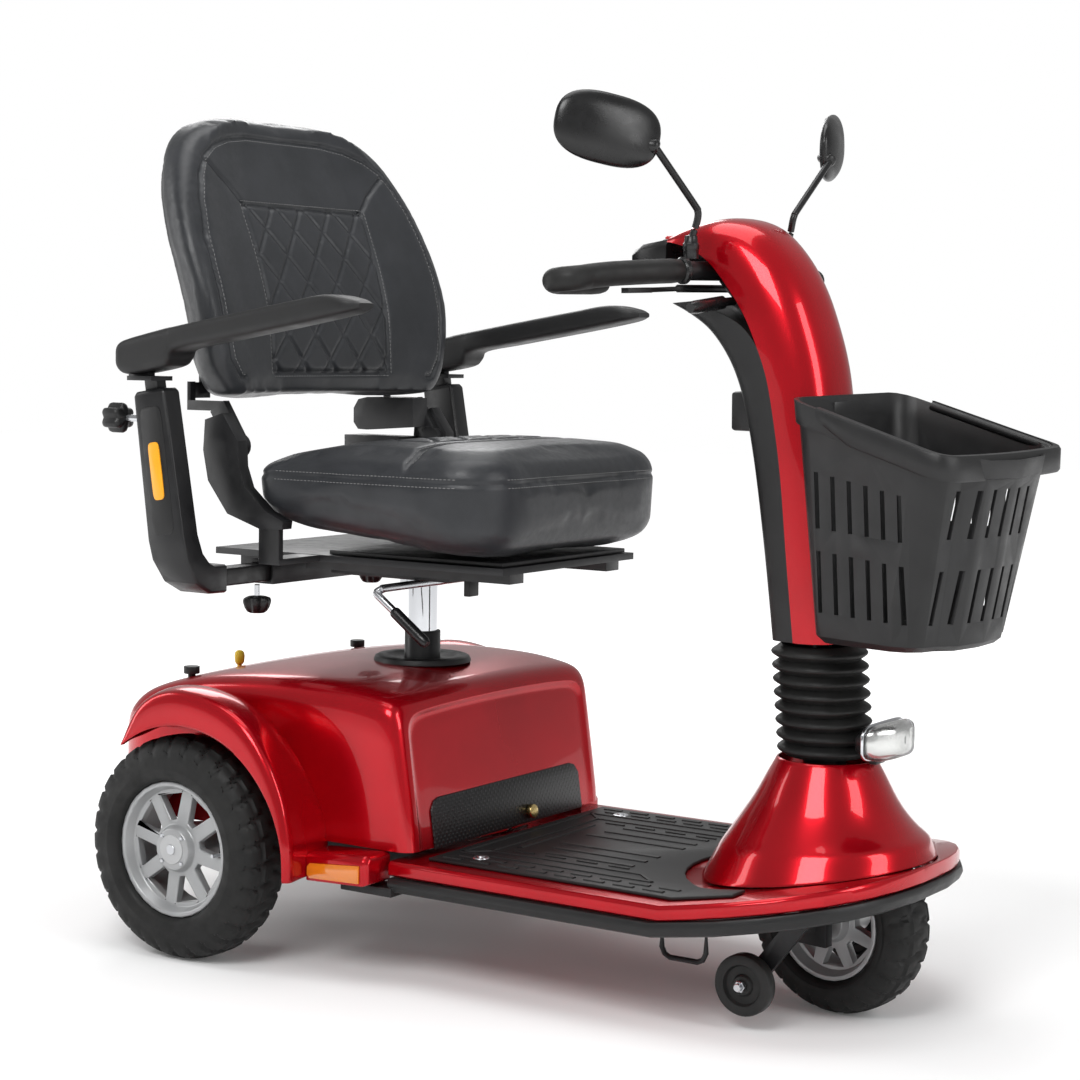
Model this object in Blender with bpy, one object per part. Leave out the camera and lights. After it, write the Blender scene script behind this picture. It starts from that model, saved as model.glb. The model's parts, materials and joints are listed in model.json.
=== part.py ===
# Three-wheeled mobility scooter, driving towards +X, +Y to the rider's left, +Z up, ground at z = 0.
# All lengths are metres. Shapes are drawn with x = 0 at the rear axle and moved to the box centre at the end.
import math

import bmesh
import bpy
from mathutils import Matrix, Quaternion, Vector

NAME = "mobility_scooter"

# Driving dimensions
REAR_R = 0.140
REAR_W = 0.079
REAR_Y = 0.2685
RIM_R = 0.0855
FRONT_R = 0.1108
FRONT_W = 0.077
FRONT_X = 0.7746
FRONT_RIM_R = 0.069
STEER_REST = math.radians(-8.0)
STEER_TILT = math.radians(9.0)
DECK_W = 0.228
DECK_TOP = 0.151
DECK_LOW = 0.133
DECK_REAR = 0.2835
NOSE_X0 = 0.65
NOSE_LEN = 0.241
NOSE_N = 2.487
RISE_X = 0.66
RISE = 0.17
HOOD_W = 0.217
HOOD_LOW = 0.154
WALL = 0.004
POST_X = 0.164
POST_R = 0.019
CONE_X = 0.752
PIVOT_X = 0.026
PIVOT_Z = 0.641
ARM_Y = 0.3005
TIP_X = 0.726
TIP_Z = 0.0537
TIP_Y = 0.1412
GAP = 0.0004

for old in list(bpy.data.objects):
    bpy.data.objects.remove(old, do_unlink=True)

PARTS = bpy.data.collections.new(NAME)
CUTS = bpy.data.collections.new("cutters")
bpy.context.scene.collection.children.link(PARTS)
bpy.context.scene.collection.children.link(CUTS)


def material(name, rgb, metal=0.0, rough=0.5):
    m = bpy.data.materials.new(name)
    m.use_nodes = True
    b = m.node_tree.nodes["Principled BSDF"]
    b.inputs["Base Color"].default_value = (rgb[0], rgb[1], rgb[2], 1.0)
    b.inputs["Metallic"].default_value = metal
    b.inputs["Roughness"].default_value = rough
    m.diffuse_color = (rgb[0], rgb[1], rgb[2], 1.0)
    return m


RED = (0.42, 0.004, 0.012)
BLACK = (0.022, 0.022, 0.024)
STEEL = (0.05, 0.05, 0.055)
LEATHER = (0.055, 0.058, 0.062)
SILVER = (0.55, 0.56, 0.56)
AMBER = (0.85, 0.30, 0.01)
LOOK = {"red": (RED, 0.3, 0.15), "black": (BLACK, 0.0, 0.5), "steel": (STEEL, 0.6, 0.4)}
LOOK["leather"] = (LEATHER, 0.0, 0.5)
LOOK["silver"] = (SILVER, 0.5, 0.35)
LOOK["chrome"] = ((0.8, 0.8, 0.8), 1.0, 0.08)
LOOK["rubber"] = ((0.02, 0.02, 0.02), 0.0, 0.8)
LOOK["amber"] = (AMBER, 0.0, 0.2)
LOOK["yellow"] = ((0.75, 0.6, 0.08), 0.0, 0.4)
LOOK["brass"] = ((0.55, 0.42, 0.2), 1.0, 0.3)
LOOK["clear"] = ((0.85, 0.87, 0.9), 0.2, 0.1)
LOOK["button"] = ((0.6, 0.02, 0.02), 0.0, 0.3)


# ---------------------------------------------------------------- shape helpers
def new_mesh(bm):
    bmesh.ops.remove_doubles(bm, verts=bm.verts, dist=0.00002)
    bmesh.ops.recalc_face_normals(bm, faces=bm.faces)
    me = bpy.data.meshes.new("m")
    bm.to_mesh(me)
    bm.free()
    return me


def loft(rings, loop=False):
    # Skin a list of equal-length point rings; the ends are capped, or the last ring joins the first.
    bm = bmesh.new()
    rows = [[bm.verts.new(p) for p in ring] for ring in rings]
    n = len(rows[0])
    count = len(rows)
    last = count if loop else count - 1
    for i in range(last):
        a = rows[i]
        b = rows[(i + 1) % count]
        for k in range(n):
            bm.faces.new((a[k], a[(k + 1) % n], b[(k + 1) % n], b[k]))
    if not loop:
        bm.faces.new(list(reversed(rows[0])))
        bm.faces.new(rows[-1])
    return new_mesh(bm)


def lathe(profile, steps, start=None, axis="Y"):
    # Turn a closed (along, radius) outline about an axis through the point start.
    bm = bmesh.new()
    rows = []
    for along, radius in profile:
        row = []
        count = 1 if radius == 0.0 else steps
        for k in range(count):
            t = 2.0 * math.pi * k / steps
            c = radius * math.cos(t)
            s = radius * math.sin(t)
            p = (c, along, s) if axis == "Y" else (c, s, along)
            row.append(bm.verts.new(p))
        rows.append(row)
    total = len(rows)
    for i in range(total):
        a = rows[i]
        b = rows[(i + 1) % total]
        for k in range(steps):
            j = (k + 1) % steps
            if len(a) == 1 and len(b) == 1:
                continue
            if len(a) == 1:
                bm.faces.new((a[0], b[j], b[k]))
            elif len(b) == 1:
                bm.faces.new((a[k], a[j], b[0]))
            else:
                bm.faces.new((a[k], a[j], b[j], b[k]))
    me = new_mesh(bm)
    if start is not None:
        me.transform(Matrix.Translation(start))
    return me


def box(x0, x1, y0, y1, z0, z1):
    bm = bmesh.new()
    bmesh.ops.create_cube(bm, size=1.0)
    me = new_mesh(bm)
    size = Matrix.Diagonal((x1 - x0, y1 - y0, z1 - z0, 1.0))
    centre = Matrix.Translation(((x0 + x1) / 2, (y0 + y1) / 2, (z0 + z1) / 2))
    me.transform(centre @ size)
    return me


def bar(p0, p1, width, height, up=(0, 0, 1)):
    # A straight bar between two points; width is sideways, height is along up.
    a = Vector(p0)
    b = Vector(p1)
    d = (b - a).normalized()
    side = d.cross(Vector(up)).normalized()
    top = side.cross(d)
    rings = []
    for c in (a, b):
        w = side * (width / 2)
        h = top * (height / 2)
        rings.append([c - w - h, c + w - h, c + w + h, c - w + h])
    return loft(rings)


def rod(p0, p1, radius, steps=12):
    a = Vector(p0)
    b = Vector(p1)
    d = b - a
    q = Vector((0, 0, 1)).rotation_difference(d)
    me = lathe([(0.0, 0.0), (0.0, radius), (d.length, radius), (d.length, 0.0)], steps, None, "Z")
    me.transform(Matrix.Translation(a) @ q.to_matrix().to_4x4())
    return me


def sweep_rings(points, radius, steps):
    pts = [Vector(p) for p in points]
    rings = []
    ref = Vector((0, 0, 1))
    for i, p in enumerate(pts):
        a = pts[max(i - 1, 0)]
        b = pts[min(i + 1, len(pts) - 1)]
        d = (b - a).normalized()
        side = d.cross(ref).normalized()
        top = side.cross(d).normalized()
        r = radius[i] if isinstance(radius, (list, tuple)) else radius
        ring = []
        for k in range(steps):
            t = 2 * math.pi * k / steps
            ring.append(p + side * (r * math.cos(t)) + top * (r * math.sin(t)))
        rings.append(ring)
    return rings


def sweep(points, radius, steps=10):
    return loft(sweep_rings(points, radius, steps))


def rounded(x0, x1, w0, w1, n, steps, z_of_x):
    # A rounded four-sided outline whose half width runs from w0 at x0 to w1 at x1.
    ring = []
    for k in range(steps):
        t = 2 * math.pi * (k + 0.5) / steps
        c = math.cos(t)
        s = math.sin(t)
        u = math.copysign(abs(c) ** (2.0 / n), c)
        v = math.copysign(abs(s) ** (2.0 / n), s)
        x = (x0 + x1) / 2 + (x1 - x0) / 2 * u
        f = (x - x0) / (x1 - x0)
        ring.append((x, (w0 + (w1 - w0) * f) * v, z_of_x(x)))
    return ring


def plan_ring(x0, x1, w0, w1, r0, r1, height, bulge=0.0, fine=3):
    # Four-sided outline with corner radii r0 at x0 and r1 at x1; the x1 side bows out by bulge.
    ring = []
    corners = [(x1 - r1, w1 - r1, 0.0, r1), (x0 + r0, w0 - r0, 90.0, r0)]
    corners += [(x0 + r0, -w0 + r0, 180.0, r0), (x1 - r1, -w1 + r1, 270.0, r1)]
    for cx, cy, start, r in corners:
        for k in range(fine + 1):
            t = math.radians(start + 90.0 * k / fine)
            x = cx + r * math.cos(t)
            y = cy + r * math.sin(t)
            ring.append((x, y, height(x)))
        if start == 90.0:
            ring.append((x0, 0.0, height(x0)))
        else:
            mid = (x0 + x1) / 2
            side = 1.0 if start == 0.0 else -1.0
            if start in (0.0, 180.0):
                ring.append((mid, side * (w0 + w1) / 2, height(mid)))
    for y in (-0.45, 0.0, 0.45):
        x = x1 + bulge * (1.0 - y * y * 1.2)
        ring.append((x, y * w1, height(x)))
    return ring


def joined(meshes):
    # Pieces that do not touch each other, as one cutting tool.
    bm = bmesh.new()
    for me in meshes:
        bm.from_mesh(me)
    me = bpy.data.meshes.new("m")
    bm.to_mesh(me)
    bm.free()
    return me


def scratch(me, name="cut"):
    ob = bpy.data.objects.new(name, me)
    CUTS.objects.link(ob)
    ob.hide_render = True
    ob.display_type = "WIRE"
    return ob


def combine(first, others, how):
    # Exact boolean of plain meshes, giving one plain mesh back.
    base = scratch(first, "base")
    for other in others:
        tool = scratch(other)
        mod = base.modifiers.new("b", "BOOLEAN")
        mod.operation = how
        mod.solver = "EXACT"
        mod.object = tool
        deps = bpy.context.evaluated_depsgraph_get()
        deps.update()
        made = bpy.data.meshes.new_from_object(base.evaluated_get(deps))
        base.modifiers.clear()
        base.data = made
        bpy.data.objects.remove(tool, do_unlink=True)
    me = base.data
    bpy.data.objects.remove(base, do_unlink=True)
    bm = bmesh.new()
    bm.from_mesh(me)
    bmesh.ops.remove_doubles(bm, verts=bm.verts, dist=0.00002)
    bmesh.ops.dissolve_degenerate(bm, edges=bm.edges, dist=0.00001)
    bm.to_mesh(me)
    bm.free()
    return me


def union(first, *others):
    return combine(first, others, "UNION")


def cut(first, *others):
    return combine(first, others, "DIFFERENCE")


def mirrored(me):
    out = me.copy()
    out.transform(Matrix.Diagonal((1.0, -1.0, 1.0, 1.0)))
    out.flip_normals()
    return out


# ---------------------------------------------------------------- bodies on their joints
PIVOTS = {}


def pivot(name, at, parent=None):
    e = bpy.data.objects.new(name + "_axis", None)
    e.empty_display_size = 0.03
    PARTS.objects.link(e)
    base = Vector((0, 0, 0))
    if parent is not None:
        e.parent = PIVOTS[parent][0]
        base = PIVOTS[parent][1]
    e.location = Vector(at) - base
    PIVOTS[name] = (e, Vector(at))
    return e


def node(name, me, look, body):
    e, at = PIVOTS[body]
    me = me.copy()
    me.transform(Matrix.Translation(-at))
    for p in me.polygons:
        p.use_smooth = False
    me.name = name
    ob = bpy.data.objects.new(name, me)
    PARTS.objects.link(ob)
    ob.parent = e
    rgb, metal, rough = LOOK[look]
    me.materials.clear()
    me.materials.append(material(name + "_mat", rgb, metal, rough))
    return ob


def axis_x(z):
    # x of the steering axis at height z
    return FRONT_X + 0.0034 - (z - FRONT_R) * math.tan(STEER_TILT)


root = pivot("chassis", (0, 0, 0))
steer = pivot("steering", (axis_x(FRONT_R), 0, FRONT_R), "chassis")
steer.rotation_mode = "QUATERNION"
STEER_AXIS = Vector((-math.sin(STEER_TILT), 0, math.cos(STEER_TILT)))
steer.rotation_quaternion = Quaternion(STEER_AXIS, STEER_REST)
HINGE_Z = 0.402
HINGE_X = axis_x(HINGE_Z)
pivot("tiller", (HINGE_X, 0, HINGE_Z), "steering")
pivot("front_wheel", (FRONT_X, 0, FRONT_R), "steering")


def nose_width(x, half=DECK_W, x0=NOSE_X0, length=NOSE_LEN):
    if x <= x0:
        return half
    f = min((x - x0) / length, 0.9999)
    return half * (1.0 - f ** NOSE_N) ** (1.0 / NOSE_N)


def rise(x):
    return RISE * max(0.0, x - RISE_X)


# ---------------------------------------------------------------- wheels
def tyre_mesh(radius, width, bead):
    h = width / 2
    p = [(-h + 0.010, bead), (-h, bead + 0.014), (-h + 0.001, radius - 0.030), (-h + 0.005, radius - 0.013)]
    p += [(-h + 0.014, radius - 0.004), (-0.012, radius), (0.012, radius), (h - 0.014, radius - 0.004)]
    p += [(h - 0.005, radius - 0.013), (h - 0.001, radius - 0.030), (h, bead + 0.014), (h - 0.010, bead)]
    return lathe(p, 36)


def window_cutter(radius_in, radius_out, y0, y1, start):
    # Eight slots between the spokes.
    tools = []
    for k in range(8):
        a = start + k * math.pi / 4
        ring0 = []
        ring1 = []
        for r, half in ((radius_in, 0.13), (radius_out, 0.27)):
            sides = (-half, half) if r == radius_in else (half, -half)
            for s in sides:
                ring0.append((r * math.cos(a + s), y0, r * math.sin(a + s)))
                ring1.append((r * math.cos(a + s), y1, r * math.sin(a + s)))
        tools.append(loft([ring0, ring1]))
    return tools


def rim_mesh(rim, half, out, hub, bore, blind):
    # out is the distance from the tyre's middle to the outer face of the rim
    p = [(out, 0.0), (out, hub), (out - 0.011, hub + 0.004), (out - 0.013, rim - 0.011)]
    p += [(out, rim - 0.006), (out, rim), (-half, rim), (-half, rim - 0.007)]
    p += [(out - 0.026, rim - 0.009), (out - 0.024, hub + 0.006), (-half + 0.004, hub)]
    p += [(-half + 0.004, bore), (blind, bore), (blind, 0.0)]
    me = lathe(p, 32)
    return cut(me, joined(window_cutter(hub + 0.010, rim - 0.015, out - 0.03, out + 0.01, 0.2)))


for side, s in (("right", -1), ("left", 1)):
    body = "rear_wheel_" + side
    pivot(body, (0, s * REAR_Y, REAR_R), "chassis")
    tyre = tyre_mesh(REAR_R, REAR_W, RIM_R + GAP)
    tyre.transform(Matrix.Translation((0, s * REAR_Y, REAR_R)))
    rim = rim_mesh(RIM_R, 0.036, 0.0306, 0.026, 0.0103, 0.0222)
    if s < 0:
        rim = mirrored(rim)
    rim.transform(Matrix.Translation((0, s * REAR_Y, REAR_R)))
    node("rear_tyre_" + side, tyre, "rubber", body)
    node("rear_rim_" + side, rim, "silver", body)

tyre = tyre_mesh(FRONT_R, FRONT_W, FRONT_RIM_R + GAP)
tyre.transform(Matrix.Translation((FRONT_X, 0, FRONT_R)))
node("front_tyre", tyre, "rubber", "front_wheel")
p = [(0.031, 0.0066), (0.031, 0.022), (0.020, 0.026), (0.018, FRONT_RIM_R - 0.010)]
p += [(0.031, FRONT_RIM_R - 0.005), (0.031, FRONT_RIM_R), (-0.031, FRONT_RIM_R)]
p += [(-0.031, FRONT_RIM_R - 0.006), (0.006, FRONT_RIM_R - 0.009), (0.008, 0.028), (-0.031, 0.022)]
p += [(-0.031, 0.0066)]
rim = cut(mirrored(lathe(p, 32)), joined(window_cutter(0.033, 0.056, -0.04, 0.0, 0.05)))
rim.transform(Matrix.Translation((FRONT_X, 0, FRONT_R)))
node("front_rim", rim, "silver", "front_wheel")

# ---------------------------------------------------------------- frame with steering head and anti-tip struts
FRAME_TOP = 0.1325
rails = [box(0.0235, 0.625, s * 0.09 - 0.015, s * 0.09 + 0.015, 0.102, FRAME_TOP) for s in (-1, 1)]
extra = [box(0.062, 0.088, -0.085, 0.085, 0.103, FRAME_TOP - 0.001)]
extra.append(box(0.140, 0.188, -0.085, 0.085, 0.103, FRAME_TOP - 0.0005))
extra.append(box(0.597, 0.6245, -0.1265, 0.1265, 0.103, FRAME_TOP - 0.001))
neck = [(0.616, 0.118), (0.646, 0.150), (0.668, 0.200), (0.690, 0.243), (0.708, 0.261), (0.734, 0.274)]
for a, b in zip(neck[:-1], neck[1:]):
    d = (Vector(b) - Vector(a)).normalized() * 0.007
    p0 = (a[0] - d[0], 0, a[1] - d[1])
    p1 = (b[0] + d[0] * 0.5, 0, b[1] + d[1] * 0.5)
    extra.append(bar(p0, p1, 0.034, 0.016, (-1, 0, 0.3)))
head0 = Vector((axis_x(0.264), 0, 0.264))
head1 = Vector((axis_x(0.322), 0, 0.322))
extra.append(rod(head0, head1, 0.025, 20))
for s in (-1, 1):
    y = s * 0.1220
    extra.append(bar((0.610, y, 0.119), (0.792, y, 0.130), 0.009, 0.016))
    extra.append(bar((0.786, y, 0.132), (0.719, y, 0.046), 0.0085, 0.022, (1, 0, 0)))
    extra.append(rod((TIP_X, s * 0.119, TIP_Z), (TIP_X, s * 0.1600, TIP_Z), 0.0045, 10))
frame = union(rails[0], rails[1], *extra)
loop_path = [(0.603, 0.110), (0.603, 0.074), (0.607, 0.066), (0.614, 0.0625), (0.651, 0.0625)]
loop_path += [(0.658, 0.066), (0.662, 0.074), (0.662, 0.1145)]
tie = sweep([(x, -0.1185, z) for x, z in loop_path], 0.0034, 8)
frame = union(frame, tie)
bore0 = head0 - (head1 - head0) * 0.2
bore1 = head1 + (head1 - head0) * 0.2
frame = cut(frame, rod(bore0, bore1, 0.0163, 20))
node("frame", frame, "steel", "chassis")

# ---------------------------------------------------------------- deck, bumper band and mat
stations = [DECK_REAR, 0.45, 0.65, 0.66, 0.70, 0.74, 0.78, 0.81, 0.836, 0.857, 0.873, 0.883, 0.8885, 0.8905]


def deck_rings(stops, low, top, inset, edge):
    rings = []
    for x in stops:
        w = nose_width(x) - inset
        r = rise(x)
        e = min(edge, w * 0.4)
        ring = [(x, -w + e * 0.5, low + r), (x, w - e * 0.5, low + r), (x, w, low + r + e * 0.5)]
        ring += [(x, w, top + r - e), (x, w - e, top + r), (x, -w + e, top + r)]
        ring += [(x, -w, top + r - e), (x, -w, low + r + e * 0.5)]
        rings.append(ring)
    return rings


deck = loft(deck_rings(stations, DECK_LOW, DECK_TOP, 0.0, 0.004))
well = rod((0.7730, 0, 0.05), (0.7730, 0, 0.30), 0.1120, 36)
slot = box(0.612, 0.680, -0.0185, 0.0185, 0.05, 0.30)
deck = cut(deck, union(well, slot))
node("deck_pan", deck, "red", "chassis")

outline = []
turns = 13
for k in range(turns + 1):
    t = -math.pi / 2 + math.pi * k / turns
    c = abs(math.cos(t)) ** (2.0 / NOSE_N)
    s = math.copysign(abs(math.sin(t)) ** (2.0 / NOSE_N), math.sin(t))
    outline.append((NOSE_X0 + NOSE_LEN * c, DECK_W * s, c, s))
outline[0] = (NOSE_X0, -DECK_W, 0.0, -1.0)
outline[-1] = (NOSE_X0, DECK_W, 0.0, 1.0)
full = [(DECK_REAR + 0.002, -DECK_W, 0.0, -1.0), (0.45, -DECK_W, 0.0, -1.0)] + outline
full += [(0.45, DECK_W, 0.0, 1.0), (DECK_REAR + 0.002, DECK_W, 0.0, 1.0)]
rings = []
for i, (x, y, c, s) in enumerate(full):
    a = full[max(i - 1, 0)]
    b = full[min(i + 1, len(full) - 1)]
    t = Vector((b[0] - a[0], b[1] - a[1], 0)).normalized()
    n = Vector((t.y, -t.x, 0))
    q = Vector((x, y, 0))
    ring = []
    for off, z in ((0.004, 0.1312), (0.0055, 0.124), (0.001, 0.115), (-0.005, 0.1125), (-0.0105, 0.1135)):
        r = q + n * off
        ring.append((r.x, r.y, z + rise(r.x)))
    r = q - n * 0.0105
    ring.append((r.x, r.y, 0.1312 + rise(r.x)))
    rings.append(ring)
ends = [box(0.216, 0.2930, -0.2345, -0.2020, 0.1085, 0.1195), box(0.216, 0.2930, 0.2020, 0.2345, 0.1085, 0.1195)]
node("deck_bumper", union(loft(rings), *ends), "black", "chassis")

mat_stops = [0.3215, 0.45, 0.58, 0.62, 0.66, 0.70, 0.735]
rings = []
for x in mat_stops:
    w = min(0.198, nose_width(x) - 0.030)
    r = rise(x)
    rings.append([(x, -w, 0.1514 + r), (x, w, 0.1514 + r), (x, w, 0.1554 + r), (x, -w, 0.1554 + r)])
mat = loft(rings)
mat = cut(mat, rod((CONE_X, 0, 0.10), (CONE_X, 0, 0.30), 0.163, 36))
node("floor_mat", mat, "rubber", "chassis")

# ---------------------------------------------------------------- front cone and bellows
def cone_ring(level, shrink):
    ring = []
    for k in range(32):
        t = 2 * math.pi * k / 32
        c = math.cos(t)
        base = 0.1522 + rise(CONE_X + 0.125 * c)
        radius, z = level
        if z < 1.0:
            height = base + z * (0.235 - base)
            r = radius - 0.0075 * c * (1.0 - z)
        else:
            height = z - 1.0
            r = radius
        r -= shrink
        ring.append((CONE_X + r * c, r * math.sin(t), height))
    return ring


levels = [(0.1375, 0.0), (0.1230, 0.40), (0.1080, 0.72), (0.0950, 0.99), (0.0740, 1.270), (0.0590, 1.299)]
rings = [cone_ring(v, 0.0) for v in levels] + [cone_ring(v, 0.003) for v in reversed(levels)]
node("front_shroud", loft(rings, True), "red", "chassis")

profile = []
FOLDS = 8
BELLOWS_LOW = 0.3015
BELLOWS_TOP = 0.4240
step = (BELLOWS_TOP - BELLOWS_LOW) / (2 * FOLDS)
for k in range(2 * FOLDS + 1):
    profile.append((k * step, 0.0475 if k % 2 == 0 else 0.0566))
profile.append((2 * FOLDS * step, 0.0440))
profile.append((0.0, 0.0440))
bellows = lathe(profile, 24, None, "Z")
for v in bellows.vertices:
    v.co.x += 0.7505 - v.co.z * 0.088
    v.co.z += BELLOWS_LOW
node("steering_bellows", bellows, "black", "steering")

# ---------------------------------------------------------------- fork and steering stem
crown = box(0.736, 0.782, -0.0565, 0.0565, 0.234, 0.252)
legs = [box(0.760, 0.790, s * 0.0520 - 0.0045, s * 0.0520 + 0.0045, 0.088, 0.245) for s in (-1, 1)]
ends = [box(0.756, 0.794, s * 0.0525 - 0.0065, s * 0.0525 + 0.0065, 0.089, 0.131) for s in (-1, 1)]
axle = rod((FRONT_X, -0.060, FRONT_R), (FRONT_X, 0.060, FRONT_R), 0.0063, 14)
stem = rod((axis_x(0.240), 0, 0.240), (axis_x(0.381), 0, 0.381), 0.0155, 20)
tongue = rod((HINGE_X, -0.0115, HINGE_Z), (HINGE_X, 0.0115, HINGE_Z), 0.017, 18)
web = box(HINGE_X - 0.012, HINGE_X + 0.012, -0.0113, 0.0113, 0.374, HINGE_Z)
fork = union(crown, legs[0], legs[1], ends[0], ends[1], axle, stem, tongue, web)
node("front_fork", fork, "steel", "steering")

# ---------------------------------------------------------------- tiller
path = [(HINGE_X - 0.003, 0.424), (0.722, 0.55), (0.706, 0.70), (0.686, 0.762), (0.650, 0.815), (0.604, 0.859)]
column = sweep([(x, 0, z) for x, z in path], 0.015, 14)
ears = []
for s in (-1, 1):
    ears.append(rod((HINGE_X, s * 0.0122, HINGE_Z), (HINGE_X, s * 0.0195, HINGE_Z), 0.0175, 18))
    y0 = min(s * 0.0124, s * 0.0193)
    ears.append(box(HINGE_X - 0.012, HINGE_X + 0.012, y0, y0 + 0.0069, HINGE_Z, 0.434))
bridge = box(HINGE_X - 0.013, HINGE_X + 0.011, -0.0194, 0.0194, 0.4215, 0.440)
crossbar = rod((0.600, -0.0810, 0.863), (0.600, 0.0810, 0.863), 0.0115, 14)


def grip_path(s):
    pts = [(0.600, 0.0880, 0.8630), (0.588, 0.130, 0.8615), (0.575, 0.180, 0.8590), (0.5665, 0.212, 0.8560)]
    for k in range(7):
        t = math.pi * k / 6
        pts.append((0.5470 + 0.0178 * math.cos(t), 0.2235 + 0.0178 * math.sin(t), 0.8545 - 0.0008 * k))
    pts += [(0.5310, 0.2050, 0.8495), (0.5390, 0.1550, 0.8495)]
    return [(x, s * y, z) for x, y, z in pts]


arms = [sweep([(0.6028, s * 0.078, 0.8634)] + grip_path(s), 0.0085, 8) for s in (-1, 1)]
column = union(column, ears[0], ears[1], ears[2], ears[3], bridge, crossbar, arms[0], arms[1])
node("tiller_column", column, "steel", "tiller")
for side, s in (("right", -1), ("left", 1)):
    outer = sweep_rings(grip_path(s), 0.0142, 10)
    inner = sweep_rings(grip_path(s), 0.0100, 10)
    node("grip_" + side, loft(outer + list(reversed(inner)), True), "rubber", "tiller")


def cover_ring(seam, mid, half, n, wall, steps=14):
    # Open channel: from one seam edge round the mid line to the other, then back inside the wall.
    a = Vector((seam[0], 0, seam[1]))
    m = Vector((mid[0], 0, mid[1]))
    d = m - a
    deep = d.length
    d.normalize()
    ring = []
    for inner in (0, 1):
        w = half - wall * inner
        u = deep - wall * inner
        row = []
        for k in range(steps + 1):
            t = -math.pi / 2 + math.pi * k / steps
            c = abs(math.cos(t)) ** (2.0 / n)
            s = math.copysign(abs(math.sin(t)) ** (2.0 / n), math.sin(t))
            p = a + d * (u * c)
            row.append((p.x, w * s, p.z))
        ring += row if inner == 0 else list(reversed(row))
    return ring


front = [((0.739, 0.4365), (0.783, 0.4365), 0.053), ((0.730, 0.53), (0.782, 0.53), 0.055)]
front += [((0.721, 0.63), (0.776, 0.632), 0.057), ((0.710, 0.70), (0.7665, 0.705), 0.058)]
front += [((0.701, 0.742), (0.7590, 0.752), 0.059), ((0.688, 0.776), (0.746, 0.796), 0.060)]
front += [((0.670, 0.812), (0.726, 0.844), 0.0605), ((0.648, 0.842), (0.699, 0.884), 0.061)]
front += [((0.622, 0.870), (0.664, 0.914), 0.061), ((0.596, 0.887), (0.623, 0.925), 0.061)]
front += [((0.569, 0.895), (0.585, 0.919), 0.0595), ((0.5535, 0.8975), (0.560, 0.908), 0.057)]
rings = [cover_ring(a, m, w, 2.6, 0.003) for a, m, w in front]
node("tiller_front_cover", loft(rings), "red", "tiller")
back = [((0.7383, 0.4365), (0.700, 0.4365), 0.052), ((0.7293, 0.53), (0.689, 0.53), 0.0535)]
back += [((0.7203, 0.63), (0.674, 0.63), 0.055), ((0.7095, 0.70), (0.660, 0.698), 0.056)]
back += [((0.7003, 0.742), (0.647, 0.738), 0.057), ((0.6870, 0.775), (0.630, 0.768), 0.058)]
back += [((0.6640, 0.800), (0.607, 0.794), 0.0585), ((0.6300, 0.816), (0.580, 0.812), 0.0585)]
back += [((0.5930, 0.828), (0.551, 0.825), 0.056)]
rings = [cover_ring(a, m, w, 5.0, 0.003) for a, m, w in back]
rear_cover = loft(rings)
port = box(0.628, 0.6585, -0.028, 0.028, 0.676, 0.722)
rear_cover = union(rear_cover, port)
node("tiller_rear_cover", rear_cover, "black", "tiller")

rings = []
for x, low, top, w in ((0.490, 0.874, 0.884, 0.040), (0.495, 0.871, 0.890, 0.050), (0.512, 0.869, 0.8965, 0.055), (0.5525, 0.870, 0.902, 0.057)):
    ring = [(x, -w, low + 0.004), (x, -w + 0.006, low), (x, w - 0.006, low), (x, w, low + 0.004)]
    ring += [(x, w, top - 0.008), (x, w - 0.006, top - 0.001), (x, w * 0.5, top), (x, -w * 0.5, top)]
    ring += [(x, -w + 0.006, top - 0.001), (x, -w, top - 0.008)]
    rings.append(ring)
console = cut(loft(rings), rod((0.535, -0.026, 0.8970), (0.535, -0.026, 0.920), 0.0068, 14))
node("console", console, "black", "tiller")
pivot("horn_button", (0.535, -0.026, 0.9005), "tiller")
node("horn_button", rod((0.535, -0.026, 0.8990), (0.535, -0.026, 0.9056), 0.0065, 14), "button", "horn_button")
pivot("speed_dial", (0.4895, 0, 0.879), "tiller")
node("speed_dial", rod((0.4895, 0, 0.879), (0.4815, 0, 0.879), 0.0115, 16), "black", "speed_dial")

pivot("throttle", (0.586, 0, 0.8425), "tiller")
tube = rod((0.586, -0.076, 0.8425), (0.586, 0.076, 0.8425), 0.0048, 10)
paddles = []
for s in (-1, 1):
    a = (0.5860, s * 0.070, 0.8423)
    b = (0.5725, s * 0.120, 0.8405)
    c = (0.5665, s * 0.150, 0.8400)
    paddles.append(bar(a, b, 0.011, 0.0055))
    paddles.append(bar((0.5735, s * 0.115, 0.8406), c, 0.013, 0.0062))
node("throttle_lever", union(tube, *paddles), "black", "throttle")
pivot("tilt_lever", (0.636, -0.040, 0.827), "tiller")
lever = sweep([(0.637, -0.036, 0.828), (0.636, -0.060, 0.826), (0.634, -0.0605, 0.8258), (0.632, -0.112, 0.820)], [0.005, 0.005, 0.0075, 0.0075], 10)
node("tilt_lever", lever, "black", "tilt_lever")

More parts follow.
